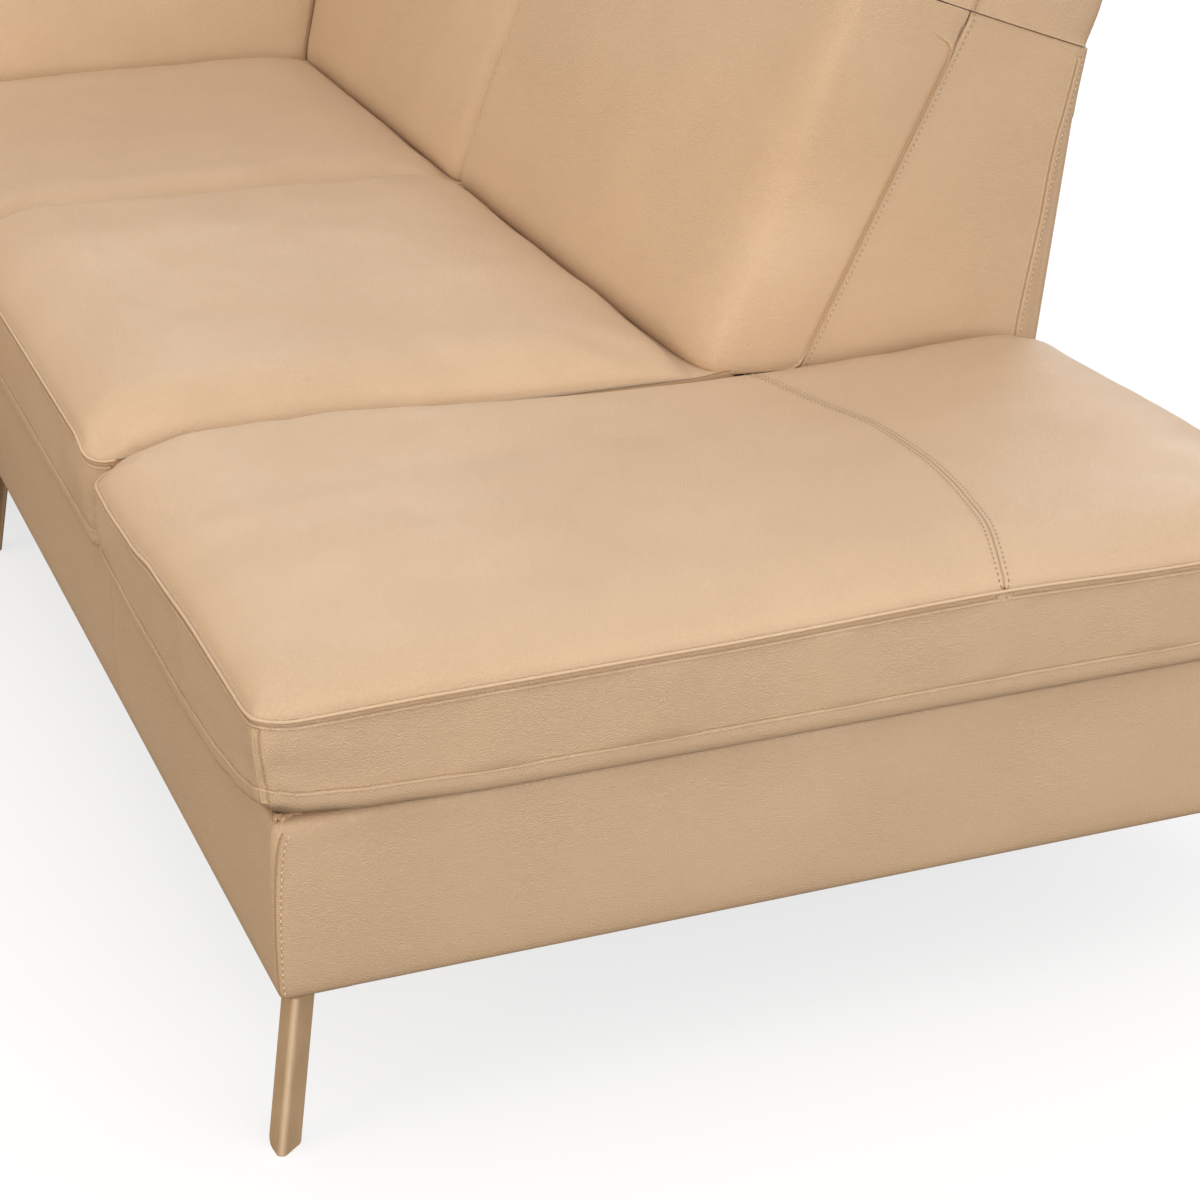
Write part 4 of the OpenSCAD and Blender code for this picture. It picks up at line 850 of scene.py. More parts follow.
def pad(name, section, span, ends, place, swell, body, node, seed, back=False):
    """A section carried along a back. An end is "open", "seat" where two meet, or "mitre".

    Each point of the section has its share of the swell, which is also how loosely it is held.
    """
    lo, hi = span
    length = hi - lo
    b, rings = Build(), []
    for v in steps(length, 24.0):
        ring = []
        dome = math.prod(arch(d, length * 0.4) for d, end in ((v, ends[0]), (length - v, ends[1]))
                         if end != "mitre")
        for i, (x, z, w) in enumerate(section):
            n = outward_of(section, i) * (-1 if back else 1)
            off = swell * w * dome + ripple(v / 150, z / 150, seed, 3.0) * w
            off += ripple(v / 52, z / 90, seed + 5, 1.2) * w
            px, pz = x + n.x * off, z + n.y * off
            line, lean = seam_u(z), 0.0
            for d, end, sign in ((v, ends[0], 1), (length - v, ends[1], -1)):
                if end == "open":
                    dx, dz = to_seam(px, pz, back)
                    if dx > 0:
                        firm = firmness(z, back)
                        lean += sign * (1 - d / length) * END_LEAN * (1 - sum(END_SINK)) * dx * firm
                        gone = firm * END_SINK[0] * max(0.0, 1 - d / 400) ** 2
                        gone += max(firm, 0.42) * END_SINK[1] * math.exp(-d / 22)
                        px, pz = px + dx * gone, pz + dz * gone
                    elif back and n.x + n.y > -0.6:
                        gone = REAR_R * roll(d, REAR_R) * min(1.0, -dx / 60)
                        px, pz = px - gone, pz + gone * math.tan(SPLIT)
                elif end == "seat":
                    if px < line:
                        px = line - (line - px) * (1 - MEET_IN * roll(d, MEET_REACH))
                elif w > 0.02:
                    px += MITRE_IN * roll(d, MITRE_REACH) * (1 if px < line else MITRE_REAR)
                if back and end in CREST_DROP:
                    drop, reach = CREST_DROP[end]
                    pz -= max(0.0, pz - CREST_Z) * drop * roll(d, reach)
            y = lo + v + lean
            if ends[1] == "mitre":
                y = lo + v / length * (CORNER_Y + px - HALF_GAP - lo)
            elif ends[0] == "mitre":
                y = hi - (length - v) / length * (hi + RETURN_SEAT + px - HALF_GAP)
            ring.append(b.add((px, y, pz), 0.0, max(0.0, 1 - 3 * w, 1 - min(v, length - v) / 8)))
        rings.append(ring)
    if ends[0] == "open":
        rings = [end_ring(b, rings[0], k, lo, -1, back) for k in reversed(END_RINGS)] + rings
    if ends[1] == "open":
        rings += [end_ring(b, rings[-1], k, hi, 1, back) for k in END_RINGS]
    b.loft(rings, True)
    b.piece(name, LEATHER, place, body, levels=1, fill=0.7, replaces=(node,), flip=not back)


BACKS = (
    ("return_back_pad", (BUMPER - 0.4, RETURN_LEN - HALF_GAP), ("open", "seat"), return_back, 3.0),
    ("corner_side_back_pad", (RETURN_LEN + HALF_GAP, CORNER_Y), ("seat", "mitre"), return_back, 21.0),
    ("corner_rear_back_pad", (-RETURN_SEAT, -HALF_GAP), ("mitre", "seat"), main_back, 31.0),
    ("main_back_pad_right", (HALF_GAP, SEAT_LEN - HALF_GAP), ("seat", "seat"), main_back, 41.0),
    ("main_back_pad_left", (SEAT_LEN + HALF_GAP, 2 * SEAT_LEN + 0.2), ("seat", "open"), main_back, 51.0),
)
HEADS = ("return_headrest", "corner_side_top", "corner_rear_top", "right_headrest", "left_headrest")
for name, span, ends, place, seed in BACKS:
    pad(name, pad_section(), span, ends, place, 16.0, "base", name.replace("pad", "cushion"), seed)
for name, (_, span, ends, place, seed) in zip(HEADS, BACKS):
    pad(name, head_section(), span, ends, place, 8.0, name if "headrest" in name else "base",
        f"{name}_cushion", seed + 3, back=True)


# Leather over the backs' frames: side panel, rounded rear corner, rear panel

STEP_Z = 662.0
PANEL_T = 0.004


def split_z(x, level=-0.5):
    """Height of a level of the hinge frame at a depth behind the foot."""
    return HINGE_Z + level / math.cos(SPLIT) - (x - HINGE_U) * math.tan(SPLIT)


def meet_split(line):
    """Where the seam's or rear's line meets the parting."""
    z = 800.0
    for _ in range(30):
        z = split_z(line(z))
    return line(z), z


def rear_skin(z):
    """The rear face, which swells towards its thicker upper panel."""
    return rear_u(z) - 1.6 + 1.6 * smooth((z - STEP_Z + 2) / 4) + 4.4 * smooth((z - STEP_Z - 6) / 95)


def thicken(obj):
    """Gives a leather panel its thickness, inwards."""
    m = obj.modifiers.new("Thickness", "SOLIDIFY")
    m.thickness = PANEL_T
    m.offset = -1.0
    return bake(obj)


def level_rows():
    """Rows up the back, with five close ones where the upper panel starts."""
    rows = [0.0, 0.04, 0.1] + [0.16 + 0.06 * i for i in range(5)]
    bottom, top = SEAT_LOW, meet_split(rear_u)[1]
    t = (STEP_Z - bottom) / (top - bottom)
    rows += [t - 0.02, t - 0.006, t, t + 0.006, t + 0.02]
    return sorted(set(rows + [t + (1 - t) * k for k in (0.25, 0.5, 0.75, 0.9, 0.97, 1.0)]))


def panel_point(t, s):
    """On the side panel: t up, s from the seam to the start of the rear corner."""
    foot, (top_x, top_z) = seam_u(SEAT_LOW), meet_split(seam_u)
    x0, z0 = foot + (top_x - foot) * t, SEAT_LOW + (top_z - SEAT_LOW) * t
    z = SEAT_LOW + (meet_split(rear_u)[1] - SEAT_LOW) * t
    return x0 + (rear_skin(z) - REAR_R - x0) * s, z0 + (z - z0) * s


def back_skin(unit, y0, y1, place):
    """A run's back from its side panel, at y0, round the rear corner and along to y1."""
    b, rows = Build(), []
    way = 1 if y1 > y0 else -1
    across = [0.0, 0.015, 0.05] + [0.05 + 0.9 * k / 16 for k in range(1, 16)] + [0.95, 0.985, 1.0]
    length = abs(y1 - y0)
    for t in level_rows():
        row = []
        for s in across:
            x, z = panel_point(t, s)
            bulge = 3.2 * math.sin(math.pi * s) ** 0.5 * math.sin(math.pi * (0.04 + 0.92 * t)) ** 0.5
            pucker = ripple(z / 16, x / 70, 2.0, 1.7) * math.exp(-((1 - s) / 0.22) ** 2)
            pucker += ripple(x / 90, z / 70, 5.0, 1.2)
            # Painted shade along the side seam and towards the rear corner
            painted_shade = 0.5 if s < 0.01 else (0.3 if s > 0.97 else 0.0)
            row.append(b.add((x, y0 - way * (bulge + pucker * min(1.0, 4 * s, 6 * (1.02 - s))), z), painted_shade))
        for k in range(1, 7):
            a = math.pi / 2 * k / 6
            row.append(b.add((x + REAR_R * math.sin(a), y0 + way * REAR_R * (1 - math.cos(a)), z)))
        n = max(8, round(length / 34))
        for k in range(1, n + 1):
            y = REAR_R + (length - REAR_R) * k / n
            soft = ripple(y / 160, z / 160, 8.0, 2.0) * min(1.0, (length - y) / 30)
            row.append(b.add((x + REAR_R + soft - 1.0, y0 + way * y, z)))
        rows.append(row)
    rim = [Vector(b.points[i]) for i in rows[-1]]
    # Rows turned in under the parting, darkened as painted shade
    for inset, level in ((0.5, -0.3), (2.5, -0.05), (9.0, -0.05), (26.0, -0.3)):
        row = []
        for i, p in enumerate(rim):
            t = heading(rim, i)
            q = p + Vector((-t.y, t.x, 0)).normalized() * inset * way
            row.append((q.x, q.y, split_z(q.x, level)))
        rows.append(b.ring(row, 0.3 if inset < 1 else 0.7))
    b.loft(rows)
    return thicken(b.piece(f"{unit}_back_leather", LEATHER, place, levels=1,
                           replaces=(f"{unit}_back_cover",), flip=way < 0))


def corner_skin():
    """The corner's rear panels, wrapped round its outer corner."""
    b, rows = Build(), []
    low = RETURN_LEN + HALF_GAP
    for t in level_rows():
        z = SEAT_LOW + (meet_split(rear_u)[1] - SEAT_LOW) * t
        x1, y1 = RETURN_SEAT + rear_skin(z) - 1.0, CORNER_Y + rear_skin(z) - 1.0
        path = [(x1, low + (y1 - REAR_R - low) * k / 34) for k in range(35)]
        path += [(x1 - REAR_R * (1 - math.cos(a)), y1 - REAR_R * (1 - math.sin(a)))
                 for a in (math.pi / 2 * k / 6 for k in range(1, 7))]
        path += [(x1 - REAR_R - (x1 - REAR_R - 1) * k / 34, y1) for k in range(1, 35)]
        rows.append(b.ring([(x, y, z) for x, y in path]))
    b.loft(rows)
    thicken(b.piece("corner_back_leather", LEATHER, on_return, levels=1, replaces=("corner_back_cover",)))


return_back_skin = back_skin("return", BUMPER, RETURN_LEN - HALF_GAP, return_back)
main_back_skin = back_skin("main", 2 * SEAT_LEN, HALF_GAP, main_back)
corner_skin()


# Leather on the bases

# Section of a base's face: how far out, height, painted shade ("edge") at its bottom and under the cushions
BASE_FACE = ((-16.0, 150.6, 0.3), (-6.0, 150.1, 0.5), (-1.6, 151.2, 0.6), (0.0, 154.5, 0.4),
             (0.9, 162.0, 0.1), (1.6, 180.0, 0.0), (2.0, 205.0, 0.0), (2.1, 232.0, 0.0), (1.9, 258.0, 0.0),
             (1.4, 284.0, 0.0), (0.8, 302.0, 0.1), (-0.4, 312.0, 0.2), (-3.0, 317.8, 0.2),
             (-7.5, 320.6, 0.3), (-14.0, 321.6, 0.8), (-30.0, 320.2, 1.0))


def rounded_path(corners, r, pitch=26.0):
    """Plan path through corners, rounded, with points close together near its bends."""
    pts = []
    n = len(corners)
    for i in range(n):
        p = Vector(corners[i])
        if 0 < i < n - 1:
            a, c = (Vector(corners[i - 1]) - p).normalized(), (Vector(corners[i + 1]) - p).normalized()
            centre = p + (a + c) * r
            start, stop = (math.atan2(d.y, d.x) for d in (p + a * r - centre, p + c * r - centre))
            turn = (stop - start + math.pi) % math.tau - math.pi
            pts += [centre + Vector((math.cos(start + turn * k / 6), math.sin(start + turn * k / 6))) * r
                    for k in range(7)]
        else:
            pts.append(p)
    out = [pts[0]]
    for a, c in zip(pts, pts[1:]):
        gap = (c - a).length
        m = max(1, round(gap / pitch))
        if m > 2:
            inner = [6.0, 16.0] + [16 + (gap - 32) * k / m for k in range(1, m)] + [gap - 16, gap - 6]
            out += [a.lerp(c, s / gap) for s in inner if 0 < s < gap]
        out.append(c)
    return out


def skirt(unit, runs, place, r, seed):
    """Leather wrapped along plan paths, the outward side on the right of each path."""
    b = Build()
    for corners in runs:
        path = rounded_path(corners, r)
        rows = []
        for out, z, painted_shade in BASE_FACE:
            row = []
            for i, p in enumerate(path):
                t = heading(path, i)
                near_end = min((p - path[0]).length, (p - path[-1]).length, 40.0) / 40
                soft = ripple(p.x / 150, p.y / 150, z / 110 + seed, 1.6)
                soft += ripple(p.x / 45, p.y / 45, z / 60 + seed, 0.5)
                belly = smooth((z - 151) / 30) * smooth((318 - z) / 30)
                q = p + Vector((t.y, -t.x)) * (out + soft * belly * near_end)
                row.append((q.x, q.y, z))
            rows.append(b.ring(row, painted_shade))
        b.loft(rows)
    return thicken(b.piece(f"{unit}_base_leather", LEATHER, place, levels=1,
                           replaces=(f"{unit}_base_cover",)))


return_base = skirt(
    "return", [((0, RETURN_LEN - 1), (0, 0), (RETURN_DEPTH, 0), (RETURN_DEPTH, RETURN_LEN - 1))],
    on_return, 7.0, 1.0)
skirt("corner", [((RETURN_DEPTH, RETURN_LEN + 1), (RETURN_DEPTH, REAR_Y), (1, REAR_Y))], on_return, 16.0, 2.0)
skirt("main", [((0, 2 * SEAT_LEN), (0, 1)), ((MAIN_DEPTH, 1), (MAIN_DEPTH, 2 * SEAT_LEN))], on_main,
      16.0, 3.0)


# Arm: leather panels and a padded top

ARM_Y = (2 * SEAT_LEN + 0.3, MAIN_LEN)
# How far in from its ends the ridge of the arm's top stops, and points along its long and short sides
ARM_RIDGE_IN = 110
ARM_LONG, ARM_SHORT = round(MAIN_DEPTH / 30), round((ARM_Y[1] - ARM_Y[0]) / 30)
# Sections of the arm's wall and of its top: how far out, height, painted shade ("edge") at the bottom and
# where wall and pad meet
ARM_WALL = BASE_FACE[:4] + (
    (0.6, 170.0, 0), (1.6, 230.0, 0), (1.8, 300.0, 0), (1.8, 380.0, 0), (1.4, 450.0, 0), (0.8, 505.0, 0),
    (0.0, 530.0, 0.2), (-2.5, 538.0, 0.6), (-9.0, 539.6, 0.4))
ARM_PAD = (
    (-12, 540.6, 0.3), (-3, 541.0, 0.5), (0.6, 543.5, 0.5), (2.2, 549, 0.1), (3.0, 558, 0.0), (2.2, 568, 0.0),
    (-1.0, 577, 0.0), (-7.0, 584, 0.0), (-16.0, 588.4, 0.0), (-28.0, 590.6, 0.0), (-44.0, 592.4, 0.0),
    (-64.0, 593.6, 0.0), (-86.0, 594.4, 0.0))


def arm_plan(r, out):
    """The arm's plan with round corners, moved out, always with the same number of points."""
    pts, full = [], []
    y0, y1 = ARM_Y
    rr = max(2.0, r + out)
    for cx, cy, a0 in ((MAIN_DEPTH - r, y0 + r, -90), (MAIN_DEPTH - r, y1 - r, 0), (r, y1 - r, 90),
                       (r, y0 + r, 180)):
        turns = [math.radians(a0 + 15 * k) for k in range(7)]
        pts += [(cx + rr * math.cos(a), cy + rr * math.sin(a)) for a in turns]
    for i, p in enumerate(pts):
        q = pts[(i + 1) % len(pts)]
        m = 1 if i % 7 < 6 else ARM_LONG if i % 14 == 13 else ARM_SHORT
        full += [(p[0] + (q[0] - p[0]) * k / m, p[1] + (q[1] - p[1]) * k / m) for k in range(m)]
    return full


def arm_cover():
    b, rings = Build(), []
    for out, z, painted_shade in ARM_WALL:
        ring = []
        for x, y in arm_plan(16.0, out):
            soft = ripple(x / 150, y / 150, z / 120, 1.6) * smooth((z - 152) / 30) * smooth((536 - z) / 30)
            ring.append((x, y + soft if y > ARM_Y[1] - 4 else y, z))
        rings.append(b.ring(ring, painted_shade))
    for low, high in zip(rings, rings[1:]):
        b.bridge(low, high)
    thicken(b.piece("arm_leather", LEATHER, on_main, levels=1, replaces=("arm_cover",)))


def arm_top():
    b, rings = Build(), []
    for out, z, painted_shade in ARM_PAD:
        ring = []
        for x, y in arm_plan(24.0, 0):
            ridge_x = min(max(x, ARM_RIDGE_IN), MAIN_DEPTH - ARM_RIDGE_IN)
            d = Vector((ridge_x - x, sum(ARM_Y) / 2 - y))
            k = -out / max(d.length, 1e-6)
            soft = ripple(x / 120, y / 60, z / 50, 1.2) * smooth((z - 560) / 20)
            ring.append((x + d.x * k, y + d.y * k, z + soft))
        rings.append(b.ring(ring, painted_shade))
    b.faces.append(tuple(reversed(rings[0])))
    for low, high in zip(rings, rings[1:]):
        b.bridge(low, high)
    # Quads join the two long sides, and one face closes each end
    last, two_bends = rings[-1], 12
    far = two_bends + ARM_SHORT
    near = far + ARM_LONG + two_bends + ARM_SHORT
    for k in range(ARM_LONG):
        b.faces.append((last[far + k], last[far + k + 1], last[near + ARM_LONG - k - 1],
                        last[(near + ARM_LONG - k) % len(last)]))
    b.faces += [tuple(last[:far + 1]), tuple(last[far + ARM_LONG:near + 1])]
    b.piece("arm_top_pad", LEATHER, on_main, levels=1, fill=0.7, replaces=("arm_pad",))


arm_cover()
arm_top()


# Seams, piping and stitching, laid on the finished surfaces

def strip(name, paths, surface, profile, pitch=3.5):
    """A sewn seam laid on a surface. The profile runs from the path's right to its left."""
    b = Build()
    for path in paths:
        pts = resample(path, pitch)
        rows = []
        for i, p in enumerate(pts):
            place, normal = surface.at(p)
            side = heading(pts, i).cross(normal).normalized()
            fade = min(1.0, (min(i, len(pts) - 1 - i) + 0.4) / 2.0)
            row = []
            for d, h, painted_shade in profile:
                q, m = surface.at(place + side * d)
                row.append(b.add(q + m * (h * fade - 0.3 * (1 - fade)), painted_shade * fade))
            rows.append(row)
        b.loft(rows)
        under = [b.ring([Vector(b.points[k]) - surface.at(Vector(b.points[k]))[1] * 0.9 for k in row])
                 for row in rows]
        for a, c in zip(under, under[1:]):
            b.bridge(c, a, closed=False)
        for a, c, e, f in zip(rows, rows[1:], under, under[1:]):
            b.faces += [(c[0], a[0], e[0], f[0]), (a[-1], c[-1], f[-1], e[-1])]
        b.faces += [(*rows[0], *reversed(under[0])), (*reversed(rows[-1]), *under[-1])]
    b.laid(name, LEATHER)


def mirrored(profile):
    return tuple((-d, h, painted_shade) for d, h, painted_shade in reversed(profile))


# Across a seam, to the right of its path: distance, height, painted shade ("edge") in the groove. The first
# two are alike on both sides
BUTT = ((8.0, -0.35, 0.0), (5.5, 0.35, 0.0), (3.4, 0.75, 0.0), (1.6, 0.85, 0.0), (0.7, 0.45, 0.8),
        (0.3, 0.15, 1.0))
BUTT += mirrored(BUTT)
DENT = ((1.7, -0.3, 0.0), (0.9, 0.06, 0.35), (0.4, 0.08, 0.8))
DENT += mirrored(DENT)
LAP = ((9.5, -0.35, 0.0), (7.8, 0.15, 0.3), (6.8, 0.3, 0.7), (5.6, 1.1, 0.0), (2.8, 1.3, 0.0),
       (1.4, 1.1, 0.0), (0.7, 0.35, 0.9), (0.3, 0.12, 1.0), (-0.5, 0.12, 1.0), (-1.0, 0.4, 0.7),
       (-2.0, 0.8, 0.0), (-3.6, 0.35, 0.0), (-5.5, -0.35, 0.0))
RIDGE = mirrored(((3.2, -0.35, 0.0), (2.0, 0.3, 0.0), (1.1, 0.25, 0.8), (0.5, 0.12, 1.0), (-0.4, 0.12, 1.0),
                  (-0.9, 0.4, 0.8), (-1.4, 0.85, 0.0), (-2.2, 0.6, 0.0), (-3.2, -0.35, 0.0)))


def beside(path, surface, across, lift):
    """The same path, moved across the surface to its right."""
    pts, moved = resample(path, 5.0), []
    for i, p in enumerate(pts):
        place, normal = surface.at(p)
        q, m = surface.at(place + heading(pts, i).cross(normal).normalized() * across)
        moved.append(q + m * lift)
    return moved


# Points by which a seat's seams run on round the corners of its front
SEAM_TUCK = 5


def seat_seams():
    """Piping on the cushions' top edges, a row of stitches under it, another above the lower roll."""
    for c in (bumper, return_seat, *main_seats, corner_seat):
        n = len(c.rings[0])
        start = n - c.nq + 1 - SEAM_TUCK
        stop = n + SEAM_TUCK + (c.np + c.nq - 2 if c is bumper else 0)
        welted(f"{c.obj.name}_piping", c.line(0, start, stop, 0.7, 0.3))
        rows = [c.line(STITCH_TOP, start + 1, stop - 1), c.line(STITCH_LOW, start + 2, stop - 2)]
        stitched(f"{c.obj.name}_stitches", rows, c.surface)


seat_seams()

# The seam across the open end seat, and how far from it a row of stitches runs on either side
TOP_STITCH = 4.6
TOP_SEAM = ((692, 596), (699, 546), (720, 409), (722, 306), (713, 171), (697, 77), (680, 10))
top_path = row_mm([(x, y, 455) for x, y in TOP_SEAM] + [(676, -5, 440), (674, -10, 430), (673, -12, 422)])
top_path = [bumper.surface.at(p)[0] for p in curve(top_path, 5.0)]
strip("bumper_top_seam", [top_path], bumper.surface, BUTT)
top_rows = [beside(top_path, bumper.surface, d, 0.7) for d in (TOP_STITCH, -TOP_STITCH)]
# These stitches use the darker thread as painted shade for their sunk holes
stitched("bumper_top_seam_stitches", top_rows, bumper.surface, 0.75, SHADED_THREAD)

# The upright seam at the open end seat's front corner
corner_path = curve(row_mm([(-12.5, -9.0, 419), (-13.5, -10.5, 400), (-12.5, -12.0, 380), (-10.5, -12.5, 362),
                            (-8.5, -11.5, 348)]), 3.0)
strip("bumper_corner_seam", [corner_path], bumper.surface, RIDGE, 2.5)

# The base's curved corner seam and the upright seam in its long face
base_surface = Surface(return_base)
base_path = curve(row_mm([(12, -2, 315.5), (8, -2, 310.5), (4, -2, 299), (1, -1.5, 282), (-0.6, 0, 258),
                          (-1.6, 1.2, 228), (-2, 2, 190), (-2, 2.4, 152.5)]))
strip("base_corner_seam", [base_path], base_surface, RIDGE, 2.5)
stitched("base_corner_seam_stitches", [beside(base_path, base_surface, -6.0, 0.2)], base_surface, 0.25)
FACE_SEAM_Y = 606
face_path = curve(row_mm([(-2, FACE_SEAM_Y, z) for z in (314, 250, 156)]), 5.0)
strip("base_face_seam", [face_path], base_surface, BUTT)


# Backs: the seam between pad and side panel, and the stitched seam before the rear edge

def side_line(x_of, low, high, y, place, n=16):
    levels = [low + (high - low) * i / n for i in range(n + 1)]
    return row_mm([(x_of(z), y, z) for z in levels], place)


# How far from a lapped seam its stitches run
LAP_STITCH = 6.6


def band_in(z):
    """How far the stitched seam stands in front of the rear edge."""
    return along(((420, 36), (585, 27), (740, 17)), z)


for unit, skin, place, y, way in (("return", return_back_skin, return_back, BUMPER - 2.0, 1),
                                  ("main", main_back_skin, main_back, 2 * SEAT_LEN + 2.0, -1)):
    surface, lap = Surface(skin), LAP if way > 0 else mirrored(LAP)
    path = side_line(lambda z: seam_u(z) + 0.6, 400.0, meet_split(seam_u)[1] - 1.0, y, place)
    rear = side_line(lambda z: rear_skin(z) - band_in(z), 400.0, meet_split(rear_u)[1] - 5.0, y, place)
    strip(f"{unit}_back_pad_seam", [path], surface, lap)
    strip(f"{unit}_back_rear_seam", [rear], surface, lap)
    stitched(f"{unit}_back_stitches", [beside(p, surface, LAP_STITCH * way, 0.5) for p in (path, rear)],
             surface, 0.55)


# Inner soft parts: foam blocks with softened edges, webbing, and cloth under the bases

CUT_REACH, CUT_SHARE = 60, 0.95


def cut_back(mesh):
    """Slants the blocks behind the two open ends, where the leather falls away to its seam."""
    for v in mesh.vertices:
        p = v.co * 1000 + MID
        if p.z > FOOT_Z and abs(p.y - BUMPER) < CUT_REACH and p.x > RETURN_SEAT - CUT_REACH:
            v.co.y += 0.001 * max(0.0, RETURN_SEAT + seam_u(p.z) - p.x) * CUT_SHARE
        if p.z > FOOT_Z and abs(p.x + 2 * SEAT_LEN) < CUT_REACH and p.y > CORNER_Y - CUT_REACH:
            v.co.x += 0.001 * max(0.0, CORNER_Y + seam_u(p.z) - p.y) * CUT_SHARE


def from_node(name, node, mat, slot, body, bevel):
    """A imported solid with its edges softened."""
    obj = linked(name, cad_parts[node].data.copy())
    if slot in ("foam", "hardwood"):
        cut_back(obj.data)
    obj.data.materials.clear()
    obj.data.materials.append(mat)
    weld = obj.modifiers.new("Weld", "WELD")
    weld.merge_threshold = 0.00002
    m = obj.modifiers.new("Bevel", "BEVEL")
    m.width, m.segments, m.limit_method = bevel, 2, "ANGLE"
    bake(obj)
    return settle(obj, body, replaces=(node,))


for name, body in (("seat_foam_cores", "base"), ("back_foam_cores", "base"),
                   ("return_headrest_foam", "return_headrest"), ("right_headrest_foam", "right_headrest"),
                   ("left_headrest_foam", "left_headrest")):
    from_node(name.replace("foam", "soft_foam"), name, FOAM, "foam", body, 0.006)
for name in ("return_headrest", "left_headrest"):
    from_node(f"{name}_ply", f"{name}_board", WOOD, "hardwood", name, 0.0008)
for name in ("seat_webbing", "back_webbing"):
    from_node(name.replace("webbing", "straps"), name, WEBBING, "webbing", "base", 0.0004)


DUST_IN = 5.3


def dust_cloth(unit, x, y, place, replaces=()):
    """Cloth stretched under a base, with a slack middle."""
    b, rows = Build(), []
    x, y = (x[0] + DUST_IN, x[1] - DUST_IN), (y[0] + DUST_IN, y[1] - DUST_IN)
    wide, long = x[1] - x[0], y[1] - y[0]
    nx, ny = round(wide / 30), round(long / 30)
    for j in range(ny + 1):
        row = []
        for i in range(nx + 1):
            px, py = x[0] + wide * i / nx, y[0] + long * j / ny
            d = min(px - x[0], x[1] - px, py - y[0], y[1] - py)
            sag = 6.0 * smooth((d - 130) / 200) + ripple(px / 90, py / 90, 3, 1.5) * smooth((d - 110) / 80)
            row.append((px, py, LEG_H + 0.5 - sag))
        rows.append(b.ring(row))
    b.loft(rows)
    obj = b.piece(f"{unit}_dust_cloth", DUST, place, slot="dust_cloth", flip=True, replaces=replaces)


dust_cloth("return", (0, RETURN_DEPTH), (0, RETURN_LEN - 1), on_return, ("base_dust_covers",))
dust_cloth("corner", (1, RETURN_DEPTH), (RETURN_LEN + 1, REAR_Y), on_return)
dust_cloth("main", (0, MAIN_DEPTH), (1, MAIN_LEN), on_main)


# Legs: a folded blade under a screw plate, at six corners

LEG_FACE, LEG_T, LEG_FOLD, LEG_BEND = 30.0, 4.0, 57.0, 5.0
LEG_FOOT, LEG_HEAD = Vector((-9.0, -9.0)), Vector((15.0, 6.0))
LEG_TURN = 67.0
PLATE, PLATE_IN, PLATE_T, PLATE_R = 62.0, 8.0, 3.0, 5.0
# Points round a screw plate: the angle in its corner's bend, and which corner
PLATE_TURNS = [(math.pi / 2 * (q + k / 5), u, v)
               for q, (u, v) in enumerate(((1, 1), (-1, 1), (-1, -1), (1, -1))) for k in range(6)]
LEG_CORNERS = ((0.0, 0.0, 1, 1), (RETURN_DEPTH, 0.0, -1, 1), (0.0, RETURN_LEN - HALF_GAP, 1, -1),
               (RETURN_DEPTH, REAR_Y, -1, -1), (-MAIN_LEN, MAIN_FRONT, 1, 1), (-MAIN_LEN, REAR_Y, 1, -1))


def blade_outline():
    """The folded section: place, distance to the nearer long edge, side of the fold, painted highlight."""
    half = math.radians(LEG_FOLD / 2)
    apex = LEG_BEND - LEG_BEND / math.sin(half)
    flat = LEG_BEND / math.tan(half)
    out = []
    for inset in (0.0, LEG_T):
        row = []
        for side in (1, -1):
            arm = []
            for k in (1.0, 0.985, 0.95, 0.88, 0.75, 0.55, 0.35, 0.12, 0.0):
                s = flat + (LEG_FACE - flat) * k
                round_in = 0.5 if k == 1.0 else 0.0
                depth = inset + (round_in if inset == 0.0 else -round_in)
                arm.append((Vector((apex + s * math.cos(half) + depth * math.sin(half),
                                    side * (s * math.sin(half) - depth * math.cos(half)))),
                            (1 - k) * (LEG_FACE - flat), side, 0.25 if k == 1.0 else 0.0))
            row.append(arm)
        r = max(0.7, LEG_BEND - inset)
        bend = []
        for k in range(1, 8):
            a = math.radians(90 + LEG_FOLD / 2) + (math.pi - math.radians(LEG_FOLD)) * k / 8
            # Painted highlight, brightest in the middle of the fold's outer bend
            painted_highlight = (1 - abs(k - 4) / 4) ** 2 if inset == 0.0 else 0.0
            bend.append((Vector((LEG_BEND + r * math.cos(a), r * math.sin(a))), 99.0, 0, painted_highlight))
        out.append(row[0] + bend + row[1][::-1])
    return out[0] + out[1][::-1]


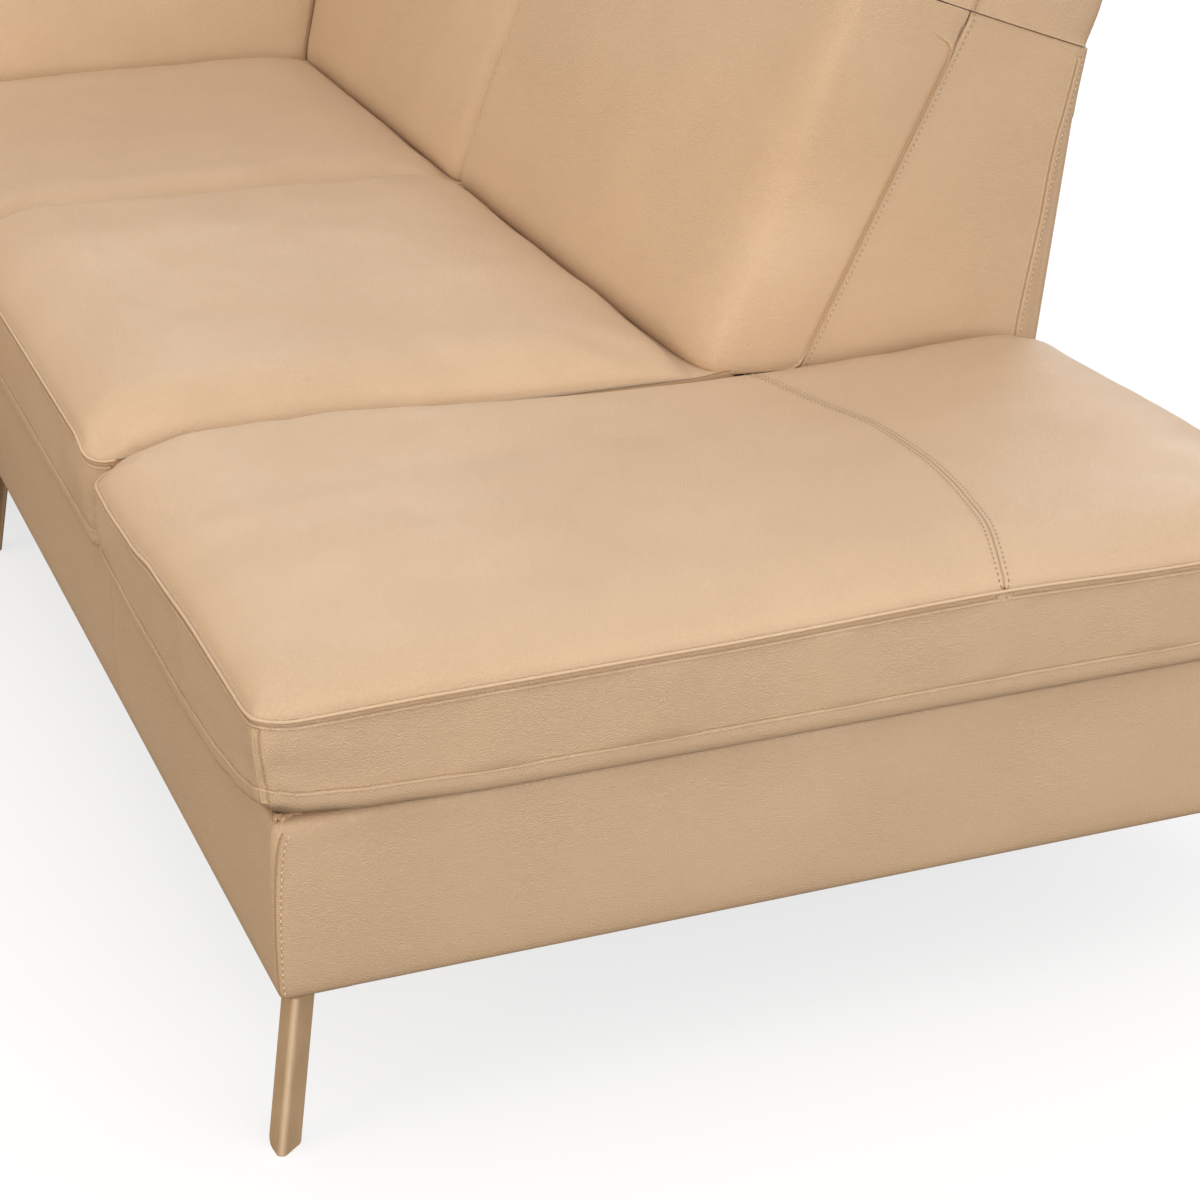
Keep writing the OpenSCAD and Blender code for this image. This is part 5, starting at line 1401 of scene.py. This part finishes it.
def blade_legs():
    lean = LEG_HEAD - LEG_FOOT
    way, tilt = math.atan2(lean.y, lean.x), math.atan2(lean.length, LEG_H)
    turn = (Matrix.Rotation(way, 3, "Z") @ Matrix.Rotation(tilt, 3, "Y")
            @ Matrix.Rotation(math.radians(LEG_TURN) - way, 3, "Z"))
    axis = turn @ Vector((0, 0, 1))
    b = Build()
    for cx, cy, sx, sy in LEG_CORNERS:
        rings = []
        for z in (0.0, 0.5, 3.0, 12.0, 30.0, 60.0, 95.0, 125.0, 144.0, LEG_H - PLATE_T):
            ring = []
            for p, d, side, painted_highlight in blade_outline():
                r = 10.0 if side > 0 else 3.0
                cut = r - math.sqrt(max(0.0, r * r - max(0.0, r - d) ** 2)) if side else 0.0
                level = z + cut * max(0.0, 1 - z / 40)
                q = turn @ Vector((p.x, p.y, 0)) + Vector((LEG_FOOT.x, LEG_FOOT.y, 0))
                q += axis * ((level - q.z) / axis.z)
                # The fold's painted highlight, and 0.4 of the same brightening on the foot's cut
                ring.append(b.add((cx + sx * q.x, cy + sy * q.y, q.z), max(painted_highlight, 0.4 if z == 0.0 else 0.0)))
            rings.append(ring)
        b.loft(rings, True)
        middle, flat = PLATE_IN + PLATE / 2, PLATE / 2 - PLATE_R
        b.loft([b.ring([(cx + sx * (middle + (flat * u + PLATE_R * math.cos(a)) * k),
                         cy + sy * (middle + (flat * v + PLATE_R * math.sin(a)) * k), LEG_H - z)
                        for a, u, v in PLATE_TURNS])
                for k, z in ((0.985, PLATE_T), (1.0, PLATE_T - 0.5), (1.0, 0.5), (0.985, 0.1))], True)
    obj = b.piece("folded_blade_legs", BRONZE, slot="leg_metal", replaces=("blade_legs",))
    fix = bmesh.new()
    fix.from_mesh(obj.data)
    bmesh.ops.recalc_face_normals(fix, faces=fix.faces)
    fix.to_mesh(obj.data)
    fix.free()
    m = obj.modifiers.new("Edges", "EDGE_SPLIT")
    m.split_angle = math.radians(50)
    bake(obj)


blade_legs()


# Finishes on the rigid pieces that the solids already show

for name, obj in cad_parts.items():
    if not obj.hide_render:
        wooden = name.endswith(("_frame", "_board"))
        obj.data.materials.clear()
        obj.data.materials.append(WOOD if wooden else PLASTIC if name == "support_feet" else ZINC)


# Camera, light and floor

camera = bpy.data.cameras.new("Camera")
camera.sensor_width = 36.0
camera.lens = 85.27
view = linked("Camera", camera)
view.location = (-0.15028, -3.32438, 1.46238)
view.rotation_euler = (math.radians(65.665), 0.0, math.radians(-21.412))
bpy.context.scene.camera = view


def area_light(name, place, aim, size, power, color):
    light = bpy.data.lights.new(name, "AREA")
    light.shape = "RECTANGLE"
    light.size, light.size_y = size
    light.energy = power
    light.color = color
    obj = linked(name, light)
    obj.location = place
    obj.rotation_euler = (Vector(aim) - Vector(place)).to_track_quat("-Z", "Y").to_euler()


WARM = (1.0, 0.99, 0.98)
area_light("Overhead", (0.6, -0.4, 4.4), (0.2, 0.1, 0.4), (4.4, 4.4), 44.0, WARM)
area_light("Front", (1.7, -5.6, 1.9), (0.3, -0.6, 0.3), (4.2, 2.6), 126.0, WARM)
area_light("Left", (-4.6, -2.4, 2.0), (-0.3, -0.4, 0.3), (3.0, 2.6), 120.0, (1.0, 0.87, 0.67))
area_light("Back", (3.4, 5.2, 2.4), (0.3, -0.6, 0.4), (6.5, 2.6), 165.0, (1.0, 1.0, 1.0))

# Pale surroundings above the horizon, dimmer below it
world = bpy.data.worlds.new("World")
world.use_nodes = True
tree = world.node_tree
sky = tree.nodes["Background"]
way = tree.nodes.new("ShaderNodeTexCoord")
split = tree.nodes.new("ShaderNodeSeparateXYZ")
level = tree.nodes.new("ShaderNodeMapRange")
blend = tree.nodes.new("ShaderNodeMix")
blend.data_type = "RGBA"
level.interpolation_type = "SMOOTHSTEP"
for i, x in enumerate((-0.22, -0.01, 0.0, 1.0)):
    level.inputs[i + 1].default_value = x
tree.links.new(way.outputs["Generated"], split.inputs[0])
tree.links.new(split.outputs["Z"], level.inputs[0])
tree.links.new(level.outputs[0], blend.inputs[0])
blend.inputs[6].default_value = (0.2, 0.17, 0.14, 1.0)
blend.inputs[7].default_value = (1.0, 0.995, 0.99, 1.0)
tree.links.new(blend.outputs[2], sky.inputs[0])
sky.inputs[1].default_value = 0.72
bpy.context.scene.world = world

floor_mesh = bpy.data.meshes.new("Floor")
floor_mesh.from_pydata([(-30, -30, 0), (30, -30, 0), (30, 30, 0), (-30, 30, 0)], [], [(0, 1, 2, 3)])
floor = linked("Floor", floor_mesh)
paper = Nodes("Floor paper")
paper.finish((0.24, 0.24, 0.24), 0.9, Emission_Color=(1.0, 1.0, 1.0, 1.0), Emission_Strength=0.735)
floor.data.materials.append(paper.mat)
floor.visible_diffuse = floor.visible_glossy = False
bpy.context.scene.view_settings.view_transform = "Standard"
